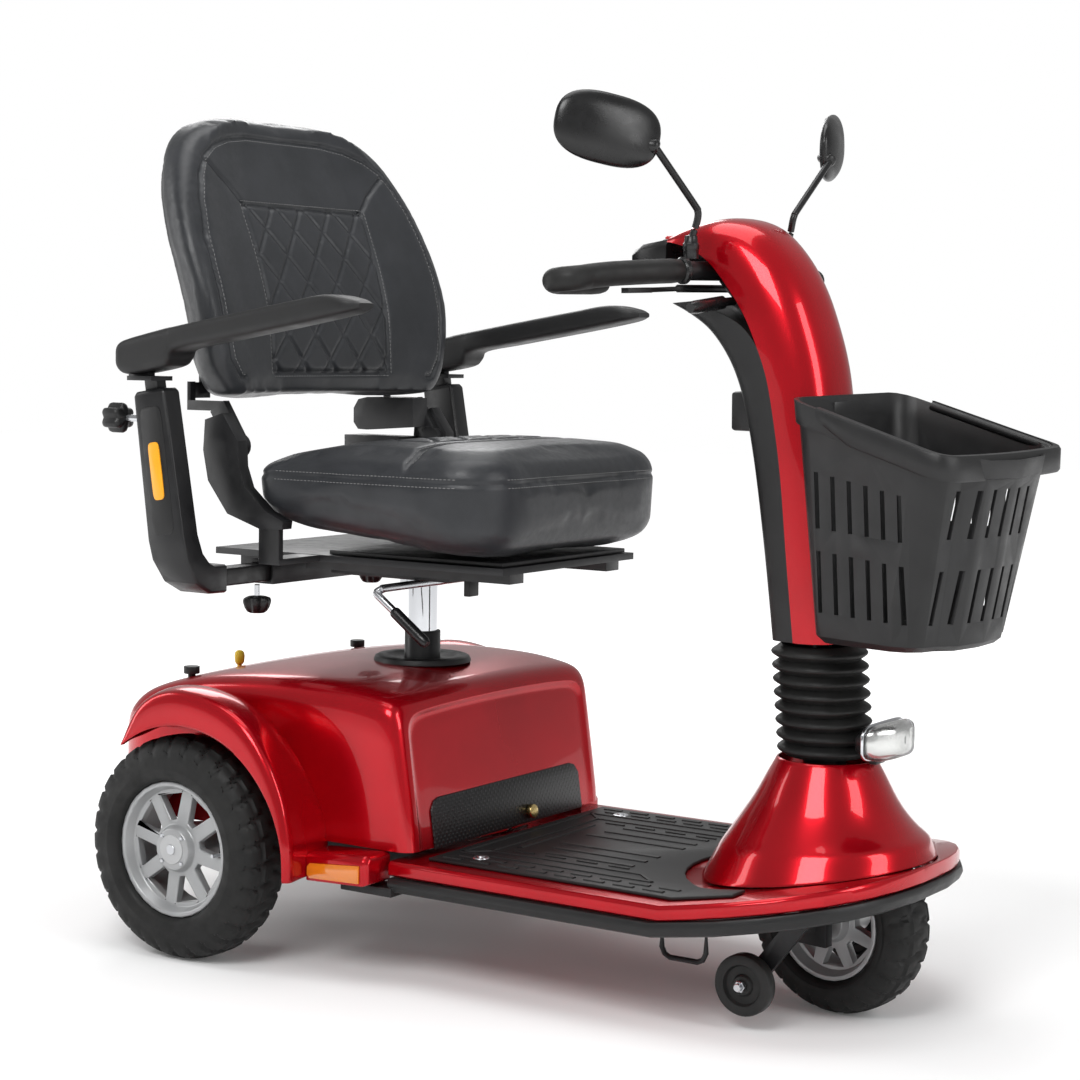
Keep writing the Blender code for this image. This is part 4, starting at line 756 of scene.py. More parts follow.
# ---------------------------------------------------------------- tiller covers
def cover_ring(seam, mid, half, n, wall, steps=28):
    # Half-round cross-section of a shell of half width half, from its seam line out to mid.
    a = Vector((seam[0], 0, seam[1]))
    d = Vector((mid[0], 0, mid[1])) - a
    deep = d.length
    d.normalize()
    ring = []
    for inner in (0, 1):
        w = half - wall * inner
        u = deep - wall * inner
        row = []
        for k in range(steps + 1):
            t = -math.pi / 2 + math.pi * k / steps
            side = math.copysign(abs(math.sin(t)) ** (2.0 / n), math.sin(t)) * w
            out = abs(math.cos(t)) ** (2.0 / n) * u
            p = a + d * out
            row.append((p.x, side, p.z))
        ring += row if inner == 0 else list(reversed(row))
    return ring


COVER = [
    ((0.739, 0.4365), (0.783, 0.4365), 0.053), ((0.730, 0.53), (0.782, 0.53), 0.055),
    ((0.721, 0.63), (0.776, 0.632), 0.057), ((0.710, 0.70), (0.7665, 0.705), 0.058),
    ((0.701, 0.742), (0.7590, 0.752), 0.059), ((0.688, 0.776), (0.746, 0.796), 0.060),
    ((0.670, 0.812), (0.726, 0.844), 0.0605), ((0.648, 0.842), (0.699, 0.884), 0.061),
    ((0.622, 0.870), (0.664, 0.914), 0.061), ((0.596, 0.887), (0.623, 0.925), 0.061),
    ((0.569, 0.895), (0.585, 0.919), 0.0595), ((0.5535, 0.8975), (0.560, 0.908), 0.057),
]
rings = dense([cover_ring(a, m, w, 2.6, 0.003) for a, m, w in COVER], 6)
add("tiller_front_skin", loft(rings), RED, "tiller", at=STEERED, replaces=("tiller_front_cover",),
    angle=45)
BACK = [
    ((0.7383, 0.4365), (0.700, 0.4365), 0.052), ((0.7293, 0.53), (0.689, 0.53), 0.0535),
    ((0.7203, 0.63), (0.674, 0.63), 0.055), ((0.7095, 0.70), (0.660, 0.698), 0.056),
    ((0.7003, 0.742), (0.647, 0.738), 0.057), ((0.6870, 0.775), (0.630, 0.768), 0.058),
    ((0.6640, 0.800), (0.607, 0.794), 0.0585), ((0.6300, 0.816), (0.580, 0.812), 0.0585),
    ((0.5930, 0.828), (0.551, 0.825), 0.056),
]
rings = dense([cover_ring(a, m, w, 5.0, 0.003) for a, m, w in BACK], 5)
add("tiller_rear_skin", loft(rings), BLACK, "tiller", at=STEERED, replaces=("tiller_rear_cover",),
    angle=45)


def block(x0, x1, y0, y1, z0, z1):
    # A box between two corners.
    bm = bmesh.new()
    bmesh.ops.create_cube(bm, size=1.0)
    me = make(bm)
    size = Matrix.Diagonal((x1 - x0, y1 - y0, z1 - z0, 1.0))
    me.transform(Matrix.Translation(((x0 + x1) / 2, (y0 + y1) / 2, (z0 + z1) / 2)) @ size)
    return me


add("charger_port", block(0.628, 0.6585, -0.028, 0.028, 0.676, 0.722), BLACK, "tiller", at=STEERED,
    bevel=0.004)


# ---------------------------------------------------------------- grips, levers and buttons
def grip_path(s):
    # The foam grip's middle line: outwards, round the loop's end and back.
    pts = [
        (0.600, 0.0880, 0.8630), (0.588, 0.130, 0.8615), (0.575, 0.180, 0.8590),
        (0.5665, 0.212, 0.8560),
    ]
    for k in range(7):
        t = math.pi * k / 6
        x, y = 0.5470 + 0.0178 * math.cos(t), 0.2235 + 0.0178 * math.sin(t)
        pts.append((x, y, 0.8545 - 0.0008 * k))
    pts += [(0.5310, 0.2050, 0.8495), (0.5390, 0.1550, 0.8495)]
    return [(x, s * y, z) for x, y, z in pts]


for side, s in (("right", -1), ("left", 1)):
    line = path_dense(grip_path(s), 5)
    radii = []
    for i in range(len(line)):
        end = min(i, len(line) - 1 - i)
        radii.append(0.0142 * (0.82, 0.95, 1.0)[min(end, 2)])
    add("grip_" + side + "_foam", sweep(line, radii, 24), RUBBER, "tiller", at=STEERED,
        replaces=("grip_" + side,), angle=50)
    collar = rod((0.6010, s * 0.0800, 0.8632), (0.5985, s * 0.0885, 0.8630), 0.0158, 28, 0.002)
    add("grip_collar_" + side, collar, GLOSS, "tiller", at=STEERED)

me = rod((0.535, -0.026, 0.8990), (0.535, -0.026, 0.9052), 0.0063, 32, 0.001)
add("horn_button_cap", me, BUTTON, "horn_button", at=STEERED, replaces=("horn_button",))
ring = lathe([(0.0, 0.0073), (0.0012, 0.0076), (0.0016, 0.0088), (0.0, 0.0096)], 32, "Z", True)
at = STEERED @ Matrix.Translation((0.535, -0.026, 0.8995))
add("horn_button_ring", ring, ZINC, "tiller", at=at)
p = [
    (0.0, 0.0), (0.0, 0.0118), (0.0015, 0.0122), (0.0060, 0.0108), (0.0080, 0.0100),
    (0.0084, 0.0088), (0.0080, 0.0),
]
dial = lathe(p, 48, "Z")
for v in dial.vertices:
    r = math.hypot(v.co.x, v.co.y)
    if r > 0.0095 and v.co.z > 0.001:
        f = 1.0 - 0.05 * (math.cos(16 * math.atan2(v.co.y, v.co.x)) > 0)
        v.co.x *= f
        v.co.y *= f
pointer = block(-0.0007, 0.0007, 0.002, 0.0085, 0.0078, 0.0088)
turn = Matrix.Translation((0.4895, 0, 0.879)) @ Matrix.Rotation(-math.pi / 2, 4, "Y")
add("speed_knob", dial, BLACK, "speed_dial", at=STEERED @ turn, replaces=("speed_dial",))
add("speed_knob_mark", pointer, THREAD, "speed_dial", at=STEERED @ turn)
line = [(0.637, -0.036, 0.828), (0.636, -0.052, 0.8268), (0.6345, -0.0605, 0.8258)]
line = path_dense(line + [(0.632, -0.112, 0.820)], 5)
radii = [0.005 if i < 8 else 0.0078 for i in range(len(line))]
radii[-1] = 0.006
add("tilt_lever_arm", sweep(line, radii, 18), GLOSS, "tilt_lever", at=STEERED,
    replaces=("tilt_lever",), angle=40)

# ---------------------------------------------------------------- mirrors
SOCKET = [
    (0, 0), (0, 0.0085), (0.010, 0.0088), (0.011, 0.0096), (0.017, 0.0096), (0.0185, 0.0082),
    (0.026, 0.0072), (0.0285, 0.0),
]
STEM = [
    (0.621, 0.0955, 0.900), (0.6255, 0.0940, 0.914), (0.628, 0.0935, 0.924),
    (0.6290, 0.0955, 0.931), (0.6290, 0.103, 0.939), (0.6275, 0.170, 0.998),
]
NECK = [(0.6305, 0.1690, 0.9990), (0.6240, 0.1730, 1.0012), (0.6080, 0.1830, 1.0050)]
NECK_R = [0.0052, 0.0068, 0.0080, 0.0085, 0.0085, 0.0082, 0.008, 0.0076, 0.007]
SQUARE = 2.7
for side, s in (("right", -1), ("left", 1)):
    body = "mirror_" + side
    base = lathe(SOCKET, 28, "Z")
    base.transform(Matrix.Translation((0.620, s * 0.0955, 0.8765)))
    stem = sweep(path_dense([(x, s * y, z) for x, y, z in STEM], 6), 0.0042, 16)
    ball = sweep(path_dense([(x, s * y, z) for x, y, z in NECK], 4), NECK_R, 18)
    add("mirror_stem_" + side, merged(base, stem, ball), GLOSS, body, at=STEERED, angle=40)
    bm = bmesh.new()
    bmesh.ops.create_uvsphere(bm, u_segments=64, v_segments=32, radius=1.0)
    for v in bm.verts:
        # squarer outline than an ellipse, flattened behind, where the glass sits
        span = math.hypot(v.co.y, v.co.z)
        if span > 0.001:
            power = (abs(v.co.y / span) ** SQUARE + abs(v.co.z / span) ** SQUARE) ** (1 / SQUARE)
            v.co.y /= power
            v.co.z /= power
            v.co.y *= 0.965
            v.co.z *= 0.965
        v.co.x = max(v.co.x, -0.35)
    head = make(bm)
    glass = lathe([(0.0, 0.0), (0.0, 0.90), (0.04, 0.905), (0.06, 0.88), (0.062, 0.0)], 64, "Z")
    glass.transform(Matrix.Translation((-0.36, 0, 0)) @ Matrix.Rotation(-math.pi / 2, 4, "Y"))
    pose = Matrix.Translation((0.5965, s * 0.2180, 1.0185))
    pose = pose @ Matrix.Rotation(s * math.radians(27.0), 4, "Z")
    pose = pose @ Matrix.Rotation(s * 0.20, 4, "X") @ Matrix.Diagonal((0.015, 0.067, 0.041, 1.0))
    add("mirror_shell_" + side, head, GLOSS, body, at=STEERED @ pose, replaces=(body,), angle=40)
    add("mirror_glass_" + side, glass, MIRROR, body, at=STEERED @ pose, angle=40)


# ---------------------------------------------------------------- basket
def rim_height(x):
    # the rim falls in a straight line from the back wall to the front one
    return 0.7215 + (0.663 - 0.7215) * (x - 0.7725) / (0.9800 - 0.7725)


refined("basket", BLACK, 0.0007, 40)
RIM = [
    (0.815, -0.1150), (0.860, -0.1168), (0.920, -0.1190), (0.960, -0.1205), (0.976, -0.112),
    (0.981, -0.085), (0.984, 0.0),
]
rim = [(x, y, rim_height(x) - 0.0035) for x, y in RIM]
rim += [(x, -y, z) for x, y, z in reversed(rim[:-1])]
rim = path_dense(rim, 5)
add("basket_rim", sweep(rim, 0.0062, 12, 0.9), BLACK, "basket", at=STEERED, angle=60)
# overhanging collar: its outline as (outwards, upwards) from the rim
COLLAR = [
    (0.0000, 0.0030), (0.0070, 0.0022), (0.0090, -0.0010), (0.0086, -0.0230), (0.0066, -0.0258),
    (0.0012, -0.0250),
]
rings = []
for i, q in enumerate(rim):
    a = Vector(rim[max(i - 1, 0)])
    b = Vector(rim[min(i + 1, len(rim) - 1)])
    out = Vector((b.y - a.y, a.x - b.x, 0.0)).normalized()
    end = min(1.0, 0.35 + 0.13 * min(i, len(rim) - 1 - i))
    ring = []
    for off, dz in COLLAR:
        lift = 0.0035 + dz * (end if dz < -0.01 else 1.0)
        ring.append(Vector(q) + out * off + Vector((0, 0, lift)))
    rings.append(ring)
add("basket_collar", loft(rings), BLACK, "basket", at=STEERED, angle=50)

# ---------------------------------------------------------------- headlight
def lamp_shell(scale, stops):
    # Rings of the lamp housing at each stop's x, half width, bottom and top.
    rings = []
    for x, w, low, top in stops:
        points = squarish(32, w * scale, (top - low) / 2 * scale, 0.45, 0.45)
        rings.append([(x, u, (low + top) / 2 + v) for u, v in points])
    return rings


LAMP = [
    (0.8105, 0.048, 0.314, 0.338), (0.8125, 0.0500, 0.3120, 0.3405), (0.8230, 0.056, 0.307, 0.346),
    (0.8330, 0.0525, 0.3055, 0.3480), (0.8400, 0.044, 0.306, 0.349),
    (0.8500, 0.028, 0.3095, 0.3475), (0.8530, 0.018, 0.314, 0.344),
]
lens = loft(dense(lamp_shell(1.0, LAMP[2:]), 4))
add("lamp_lens", lens, LENS, "chassis", replaces=("headlight",), angle=40)
shell = loft(dense(lamp_shell(0.985, LAMP[:3]), 4))
add("lamp_back", shell, GLOSS, "chassis", angle=40)
inner = [(x - 0.0035, w, low, top) for x, w, low, top in LAMP[2:]]
reflector = loft(dense(lamp_shell(0.84, inner), 4))
add("lamp_reflector", reflector, REFLECTOR, "chassis", angle=40)
edge = lamp_shell(1.0, [(0.8232, 0.0562, 0.3068, 0.3462)])[0]
bezel = path_dense(edge + edge[:1], 2)
add("lamp_bezel", sweep(bezel, 0.0019, 8), CHROME, "chassis", angle=60)
leds = []
for k in range(5):
    y = -0.030 + 0.015 * k
    x = 0.8500 - 0.0075 * abs(k - 2) ** 1.25 * 0.62
    bm = bmesh.new()
    bmesh.ops.create_uvsphere(bm, u_segments=20, v_segments=12, radius=0.0050)
    dome = make(bm)
    tall = Matrix.Diagonal((0.7, 1.0, 2.0, 1.0))
    dome.transform(Matrix.Translation((x - 0.0035, y, 0.3285)) @ tall)
    leds.append(dome)
add("lamp_leds", merged(*leds), LED, "chassis")
add("lamp_bracket", block(0.8110, 0.8210, -0.012, 0.012, 0.2975, 0.3120), BLACK, "chassis",
    bevel=0.001)

# ---------------------------------------------------------------- seat post and levers
p = [
    (0.235, 0.0), (0.235, 0.0185), (0.2355, 0.019), (0.4600, 0.019), (0.4612, 0.029),
    (0.4625, 0.030), (0.4730, 0.030), (0.4740, 0.029), (0.4740, 0.0),
]
at = FIXED @ Matrix.Translation((0.164, 0, 0))
add("post_chrome", lathe(p, 64, "Z"), CHROME, "seat_post", at=at, replaces=("seat_post",))
p = [
    (0.3602, 0.0240), (0.3602, 0.0625), (0.3612, 0.0635), (0.3632, 0.0632), (0.3672, 0.0612),
    (0.3688, 0.0580), (0.3690, 0.0480), (0.3680, 0.0455), (0.3652, 0.0400), (0.3646, 0.0260),
    (0.3640, 0.0240),
]
add("post_ring", lathe(p, 72, "Z", True), BLACK, "chassis", at=at, replaces=("post_bezel",))
line = [
    (0.207, 0.064, 0.4690), (0.207, -0.126, 0.4690), (0.203, -0.137, 0.4675),
    (0.197, -0.142, 0.4625), (0.206, -0.143, 0.4555), (0.224, -0.143, 0.4425),
]
rod_mesh = sweep(path_dense(line, 5), 0.0050, 14)
add("swivel_lever_rod", rod_mesh, ZINC, "swivel_lever", replaces=("swivel_lever",),
    angle=50)
line = path_dense([(0.2245, -0.143, 0.4422), (0.2400, -0.143, 0.4306), (0.2760, -0.143, 0.4045)], 6)
radii = [0.0058, 0.0070] + [0.0072] * (len(line) - 4) + [0.0070, 0.0050]
add("swivel_lever_sleeve", sweep(line, radii, 18), GLOSS, "swivel_lever", angle=50)
cap = rod((0.207, 0.0600, 0.4690), (0.207, 0.0650, 0.4690), 0.0062, 20)
add("swivel_lever_cap", cap, GLOSS, "swivel_lever")
p = [
    (0.0, 0.0), (0.0, 0.0032), (0.126, 0.0032), (0.1275, 0.0050), (0.130, 0.0064), (0.138, 0.0070),
    (0.1425, 0.0062), (0.1452, 0.0036), (0.146, 0.0),
]
at = FIXED @ Matrix.Translation((-0.105, -0.050, 0.2105))
add("freewheel_knob", lathe(p, 32, "Z"), YELLOW, "freewheel_lever", at=at,
    replaces=("freewheel_lever",))


# ---------------------------------------------------------------- armrests
def lean_x(z):
    # x of the upright's middle line at height z
    return ARM_TOP_X + (z - ARM_TOP) * LEAN.x / LEAN.z


def star(profile, lobes, depth, steps=96):
    # A hand knob turned about Z, its grip scalloped into lobes.
    me = lathe(profile, steps, "Z")
    for v in me.vertices:
        r = math.hypot(v.co.x, v.co.y)
        if r > 0.012:
            f = 1.0 - depth * (0.5 - 0.5 * math.cos(lobes * math.atan2(v.co.y, v.co.x))) ** 1.5
            v.co.x *= f
            v.co.y *= f
    return me


PAD_LINE = [
    (-0.0655, 0.7430, 0.7600, 0.018), (-0.0600, 0.7340, 0.7685, 0.0255),
    (-0.0450, 0.7295, 0.7745, 0.0262), (0.0100, 0.7385, 0.7865, 0.0262),
    (0.0220, 0.7460, 0.7885, 0.0262), (0.0340, 0.7605, 0.7905, 0.0262),
    (0.1000, 0.7720, 0.8020, 0.0262), (0.2000, 0.7890, 0.8190, 0.0262),
    (0.2560, 0.7990, 0.8275, 0.0262), (0.2900, 0.8060, 0.8235, 0.0240),
    (0.3060, 0.8115, 0.8180, 0.0140),
]
for side, s in (("right", -1), ("left", 1)):
    yc = s * 0.3090
    rings = []
    for x, low, top, w in PAD_LINE:
        points = squarish(32, w, (top - low) / 2, 0.42, 0.5, 0.5)
        rings.append([(x, yc + u, (low + top) / 2 + v) for u, v in points])
    add("arm_pad_skin_" + side, loft(dense(rings, 5)), GRAIN, "arm_pad_" + side,
        replaces=("arm_pad_" + side,), angle=50)
    refined("arm_upright_" + side, COAT, 0.0025)
    # inset panel and a long marker with round ends on the outer face
    a = Vector((lean_x(0.530), s * (ARM_Y + 0.0150), 0.530))
    b = Vector((lean_x(0.694), s * (ARM_Y + 0.0150), 0.694))
    d = (b - a).normalized()
    across = Vector((0.988, 0, 0.1543))
    rings = []
    for off in (-0.0006, 0.0010):
        centre = (a + b) / 2 + Vector((0, s * off, 0))
        points = squarish(32, 0.0175, 0.0790, 0.35, 0.16)
        rings.append([centre + d * v + across * u for u, v in points])
    add("arm_panel_" + side, loft(rings), BLACK, "arm_" + side, bevel=0.0006)
    rings = []
    middle = Vector((lean_x(0.612), s * ARM_Y, 0.612))
    for off, grow in ((0.0155, 1.0), (0.0172, 1.0), (0.0176, 0.95)):
        centre = middle + Vector((0, s * off, 0))
        points = squarish(40, 0.0088 * grow, 0.0355 * grow, 0.5, 0.22)
        rings.append([centre + d * v + across * u for u, v in points])
    add("arm_marker_" + side, loft(rings), ORANGE, "arm_" + side, angle=40)
    knob_at = (lean_x(0.675) - 0.0270, s * ARM_Y, 0.6750)
    p = [
        (0.0255, 0.0), (0.0255, 0.0050), (0.0262, 0.0060), (0.0285, 0.0128), (0.0310, 0.0172),
        (0.0345, 0.0188), (0.0500, 0.0188), (0.0535, 0.0180), (0.0555, 0.0155), (0.0560, 0.0120),
        (0.0545, 0.0100), (0.0545, 0.0),
    ]
    turn = FIXED @ Matrix.Translation(knob_at) @ Matrix.Rotation(-math.pi / 2, 4, "Y")
    body = "arm_height_knob_" + side
    add("height_knob_" + side, star(p, 6, 0.22), BLACK, body, at=turn, replaces=(body,),
        angle=40)
    add("height_stud_" + side, rod((0, 0, 0.0), (0, 0, 0.0265), 0.0044, 20), CHROME, body, at=turn)
    tube_x, tube_z = ((0.0085, 0.4765) if s < 0 else (-0.0350, 0.4900))
    knob_at = (tube_x, s * 0.1480, tube_z - 0.0156)
    p = [
        (0.0145, 0.0), (0.0145, 0.0045), (0.0155, 0.0120), (0.0175, 0.0175), (0.0205, 0.0188),
        (0.0235, 0.0186), (0.0300, 0.0165), (0.0350, 0.0130), (0.0366, 0.0095), (0.0370, 0.0),
    ]
    turn = FIXED @ Matrix.Translation(knob_at) @ Matrix.Rotation(math.pi, 4, "Y")
    body = "arm_width_knob_" + side
    add("width_knob_" + side, star(p, 6, 0.24), BLACK, body, at=turn, replaces=(body,),
        angle=40)
    add("width_stud_" + side, rod((0, 0, 0.0), (0, 0, 0.0150), 0.0038, 20), CHROME, body, at=turn)


# ---------------------------------------------------------------- cushions
def plan_ring(x0, x1, w0, w1, r0, r1, height, fine=8):
    # Rounded trapezium seen from above, from x0 to x1, lifted to height(x, y) at each point.
    ring = []
    corners = [
        (x1 - r1, w1 - r1, 0.0, r1), (x0 + r0, w0 - r0, 90.0, r0), (x0 + r0, -w0 + r0, 180.0, r0),
        (x1 - r1, -w1 + r1, 270.0, r1),
    ]
    pts = []
    for cx, cy, start, r in corners:
        for k in range(fine + 1):
            t = math.radians(start + 90.0 * k / fine)
            pts.append((cx + r * math.cos(t), cy + r * math.sin(t)))
    for i, (a, b) in enumerate(zip(pts, pts[1:] + pts[:1])):
        n = 10 if i % (fine + 1) == fine else 1
        for k in range(n):
            x = a[0] + (b[0] - a[0]) * k / n
            y = a[1] + (b[1] - a[1]) * k / n
            ring.append((x, y, height(x, y)))
    return ring


def inflate(ob, voxel, pressure, limit, frames=20):
    # Pad swollen by a short cloth simulation, each point kept within limit of where it was drawn.
    m = ob.modifiers.new("remesh", "REMESH")
    m.mode = "VOXEL"
    m.voxel_size = voxel
    m.use_smooth_shade = True
    bake(ob)
    rest = [v.co.copy() for v in ob.data.vertices]
    m = ob.modifiers.new("cloth", "CLOTH")
    m.settings.quality = 5
    m.settings.mass = 0.3
    m.settings.tension_stiffness = 30
    m.settings.compression_stiffness = 30
    m.settings.shear_stiffness = 15
    m.settings.bending_stiffness = 2
    m.settings.use_pressure = True
    m.settings.uniform_pressure_force = pressure
    m.settings.effector_weights.gravity = 0.0
    m.collision_settings.use_collision = False
    m.point_cache.frame_start = 1
    m.point_cache.frame_end = frames
    for f in range(1, frames + 1):
        scene.frame_set(f)
    bake(ob)
    scene.frame_set(1)
    for v, r in zip(ob.data.vertices, rest):
        d = v.co - r
        if d.length > limit:
            v.co = r + d.normalized() * limit


def smooth_once(ob, factor, times):
    m = ob.modifiers.new("smooth", "SMOOTH")
    m.factor = factor
    m.iterations = times
    bake(ob)


def subdivided(ob, levels=1):
    m = ob.modifiers.new("fine", "SUBSURF")
    m.levels = levels
    bake(ob)


def raw(name, me, at=FIXED):
    # A mesh put in the scene for more work, with no body or material yet.
    ob = bpy.data.objects.new(name, me)
    scene.collection.objects.link(ob)
    me.transform(at)
    return ob


def finish_soft(ob, mat, body, node):
    ob.data.materials.clear()
    ob.data.materials.append(mat)
    for p in ob.data.polygons:
        p.use_smooth = True
    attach(ob, body)
    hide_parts(node)


def groove(d, width):
    # Depth share, 0 to 1, at distance d from the middle of a sewn-in line.
    return math.exp(-(d / width) ** 2)


def stitches(name, ob, lines, aim, body, step=0.0052, long=0.0036, thick=0.00055):
    # Thread dashes laid on the skin along lines drawn in the row frame, seen along aim.
    tree = BVHTree.FromObject(ob, bpy.context.evaluated_depsgraph_get())
    bm = bmesh.new()
    for line in lines:
        pts = [Vector(p) for p in line]
        for a, b in zip(pts[:-1], pts[1:]):
            n = max(1, int((b - a).length / step))
            d = (b - a) / n
            for k in range(n):
                middle = a + d * (k + 0.5)
                dirn = d.normalized() * (long / 2)
                ends = []
                for q in (middle - dirn, middle, middle + dirn):
                    hit, normal, _, _ = tree.ray_cast(q - Vector(aim) * 0.08, Vector(aim))
                    if hit is None:
                        break
                    ends.append((hit, normal))
                if len(ends) < 3:
                    continue
                rows = []
                for i, (hit, normal) in enumerate(ends):
                    side = d.normalized().cross(normal).normalized()
                    w = thick * (0.55 if i != 1 else 1.0)
                    lift = 0.0 if i != 1 else 0.0004
                    c = hit + normal * lift
                    row = []
                    for j in range(6):
                        t = 2 * math.pi * j / 6
                        round_at = side * w * math.cos(t) + normal * w * math.sin(t)
                        row.append(bm.verts.new(c + round_at))
                    rows.append(row)
                for p, q in zip(rows[:-1], rows[1:]):
                    for j in range(6):
                        bm.faces.new((p[j], p[(j + 1) % 6], q[(j + 1) % 6], q[j]))
                bm.faces.new(list(reversed(rows[0])))
                bm.faces.new(rows[-1])
    bmesh.ops.recalc_face_normals(bm, faces=bm.faces)
    me = bpy.data.meshes.new(name)
    bm.to_mesh(me)
    bm.free()
    return add(name, me, THREAD, body, at=Matrix.Identity(4), angle=60)


def cushion_low(x):
    # The seat cushion's underside, which falls towards the front.
    f = (x - 0.055) / 0.36
    return 0.550 - 0.038 * min(max(f, 0.0), 1.0)


def crown(x, high):
    # The seat cushion's top, low at the rear and full towards the front.
    f = min(max((x - 0.05) / 0.16, 0.0), 1.0)
    return 0.607 + (high - 0.607) * (0.54 + 0.46 * f * f * (3 - 2 * f))


def seat_sides(inset):
    # rear and front x, then the rear and front half widths, all drawn in by inset
    return 0.054 + inset, 0.413 - inset, 0.223 - inset, 0.220 - inset


rings = []
for inset, up in ((0.048, 0.0), (0.026, 0.003), (0.011, 0.012), (0.003, 0.028)):
    sides = seat_sides(inset)
    rings.append(plan_ring(*sides, 0.032, 0.072, lambda x, y: cushion_low(x) + 0.002 + up))
SIDE = [
    (0.001, 0.607), (0.004, 0.622), (0.012, 0.634), (0.035, 0.643), (0.085, 0.648), (0.150, 0.649),
]
for inset, high in SIDE:
    corner = max(0.072 - inset * 0.3, 0.014)
    rear = max(corner - 0.040, 0.01)
    rings.append(plan_ring(*seat_sides(inset), rear, corner, lambda x, y: crown(x, high)))
seat = raw("seat_cushion_skin", loft(rings))
inflate(seat, 0.005, 3.0, 0.004)
smooth_once(seat, 0.5, 3)
subdivided(seat)
SEAM_X = 0.292 + SHIFT.x
PANEL = (0.080 + SHIFT.x, 0.268 + SHIFT.x, 0.128)
SEAT_QUILT = 0.062
for v in seat.data.vertices:
    x, y, z = v.co
    top = max(0.0, min(1.0, (z - 0.618) / 0.012))
    v.co.z -= 0.0060 * groove(x - SEAM_X, 0.0050) * top
    side = groove(z - 0.608, 0.0028)
    out = Vector((x - (0.235 + SHIFT.x), y, 0)).normalized()
    rim = 1.0 if z < 0.628 else 0.0
    v.co -= out * 0.0022 * side * rim
    lo, hi, half = PANEL
    if lo - 0.006 < x < hi + 0.006 and abs(y) < half + 0.006 and z > 0.61:
        edge = min(abs(x - lo), abs(x - hi)) if abs(y) < half else 9
        edge = min(edge, abs(abs(y) - half) if lo < x < hi else 9)
        v.co.z -= 0.0035 * groove(edge, 0.0035)
        if lo < x < hi and abs(y) < half:
            u = ((x + y) / SEAT_QUILT) % 1.0
            w = ((x - y) / SEAT_QUILT) % 1.0
            d = min(min(u, 1 - u), min(w, 1 - w)) * SEAT_QUILT * 0.7
            v.co.z -= 0.0030 * groove(d, 0.0028)
            v.co.z += 0.0010
finish_soft(seat, LEATHER, "seat", "seat_cushion")
lines = []
for off in (-0.005, 0.005):
    lines.append([(SEAM_X + off, -0.205, 0.66), (SEAM_X + off, 0.205, 0.66)])
lo, hi, half = PANEL
lines.append([(lo - 0.004, -half, 0.66), (lo - 0.004, half, 0.66)])
lines.append([(hi + 0.004, -half, 0.66), (hi + 0.004, half, 0.66)])
for s in (-1, 1):
    lines.append([(lo, s * (half + 0.004), 0.66), (hi, s * (half + 0.004), 0.66)])
stitches("seat_top_stitches", seat, lines, (0, 0, -1), "seat")
for name, s in (("right", -1), ("left", 1)):
    lines = []
    for z in (0.6035, 0.6135):
        lines.append([(0.095 + SHIFT.x, s * 0.26, z), (0.365 + SHIFT.x, s * 0.26, z)])
    stitches("seat_side_stitches_" + name, seat, lines, (0, -s, 0), "seat")
lines = [[(0.45 + SHIFT.x, -0.165, z), (0.45 + SHIFT.x, 0.165, z)] for z in (0.6035, 0.6135)]
stitches("seat_front_stitches", seat, lines, (-1, 0, 0), "seat")

PAD = [
    (0.702, 0.200, 0.026), (0.708, 0.219, 0.029), (0.742, 0.242, 0.028), (0.807, 0.254, 0.023),
    (0.865, 0.257, 0.008), (0.910, 0.253, -0.009), (0.960, 0.240, -0.030), (0.998, 0.221, -0.047),
    (1.026, 0.199, -0.059), (1.046, 0.166, -0.066), (1.058, 0.126, -0.071), (1.064, 0.078, -0.076),
]


def pad_ring(z, w, front_x, thick=0.070):
    # Outline of the backrest at height z: hollow in front, with round edges behind.
    hollow = 0.020 * min(1.0, w / 0.24)
    back_x = front_x - thick
    r = 0.014
    pts = [
        (front_x - r, w), (front_x - 0.004, w - 0.004), (front_x, w - r),
        (front_x - hollow * 0.55, w * 0.72), (front_x - hollow, w * 0.45),
    ]
    rear = [
        (back_x + 0.030, w - 0.004), (back_x + 0.008, w - 0.020), (back_x, w - 0.060),
        (back_x - 0.004, w * 0.4),
    ]
    ring = [(x, y, z) for x, y in pts] + [(front_x - hollow - 0.002, 0.0, z)]
    ring += [(x, -y, z) for x, y in reversed(pts)] + [(x, -y, z) for x, y in rear]
    return ring + [(x, y, z) for x, y in reversed(rear)]


rings = []
for i, (z, w, fx) in enumerate(PAD):
    thick = {0: 0.048, len(PAD) - 2: 0.060, len(PAD) - 1: 0.048}.get(i, 0.070)
    rings.append(pad_ring(z, w, fx, thick))
back = raw("backrest_skin", loft(dense(rings, 3)))
inflate(back, 0.005, 3.0, 0.004)
smooth_once(back, 0.5, 4)
subdivided(back)


def back_panel(z):
    # half width of the quilted centre panel at height z
    return 0.121 + 0.004 * (z - 0.732) / 0.215


def outline(inset):
    # the front outline drawn in by inset, as (y, z) points from foot over top to foot
    half = [(w, z) for z, w, _ in PAD]
    pts = half + [(-w, z) for w, z in reversed(half)]
    moved = []
    for i, (y, z) in enumerate(pts):
        a = pts[max(i - 1, 0)]
        b = pts[min(i + 1, len(pts) - 1)]
        t = Vector((b[0] - a[0], b[1] - a[1])).normalized()
        moved.append((y - t.y * inset, z + t.x * inset))
    return moved


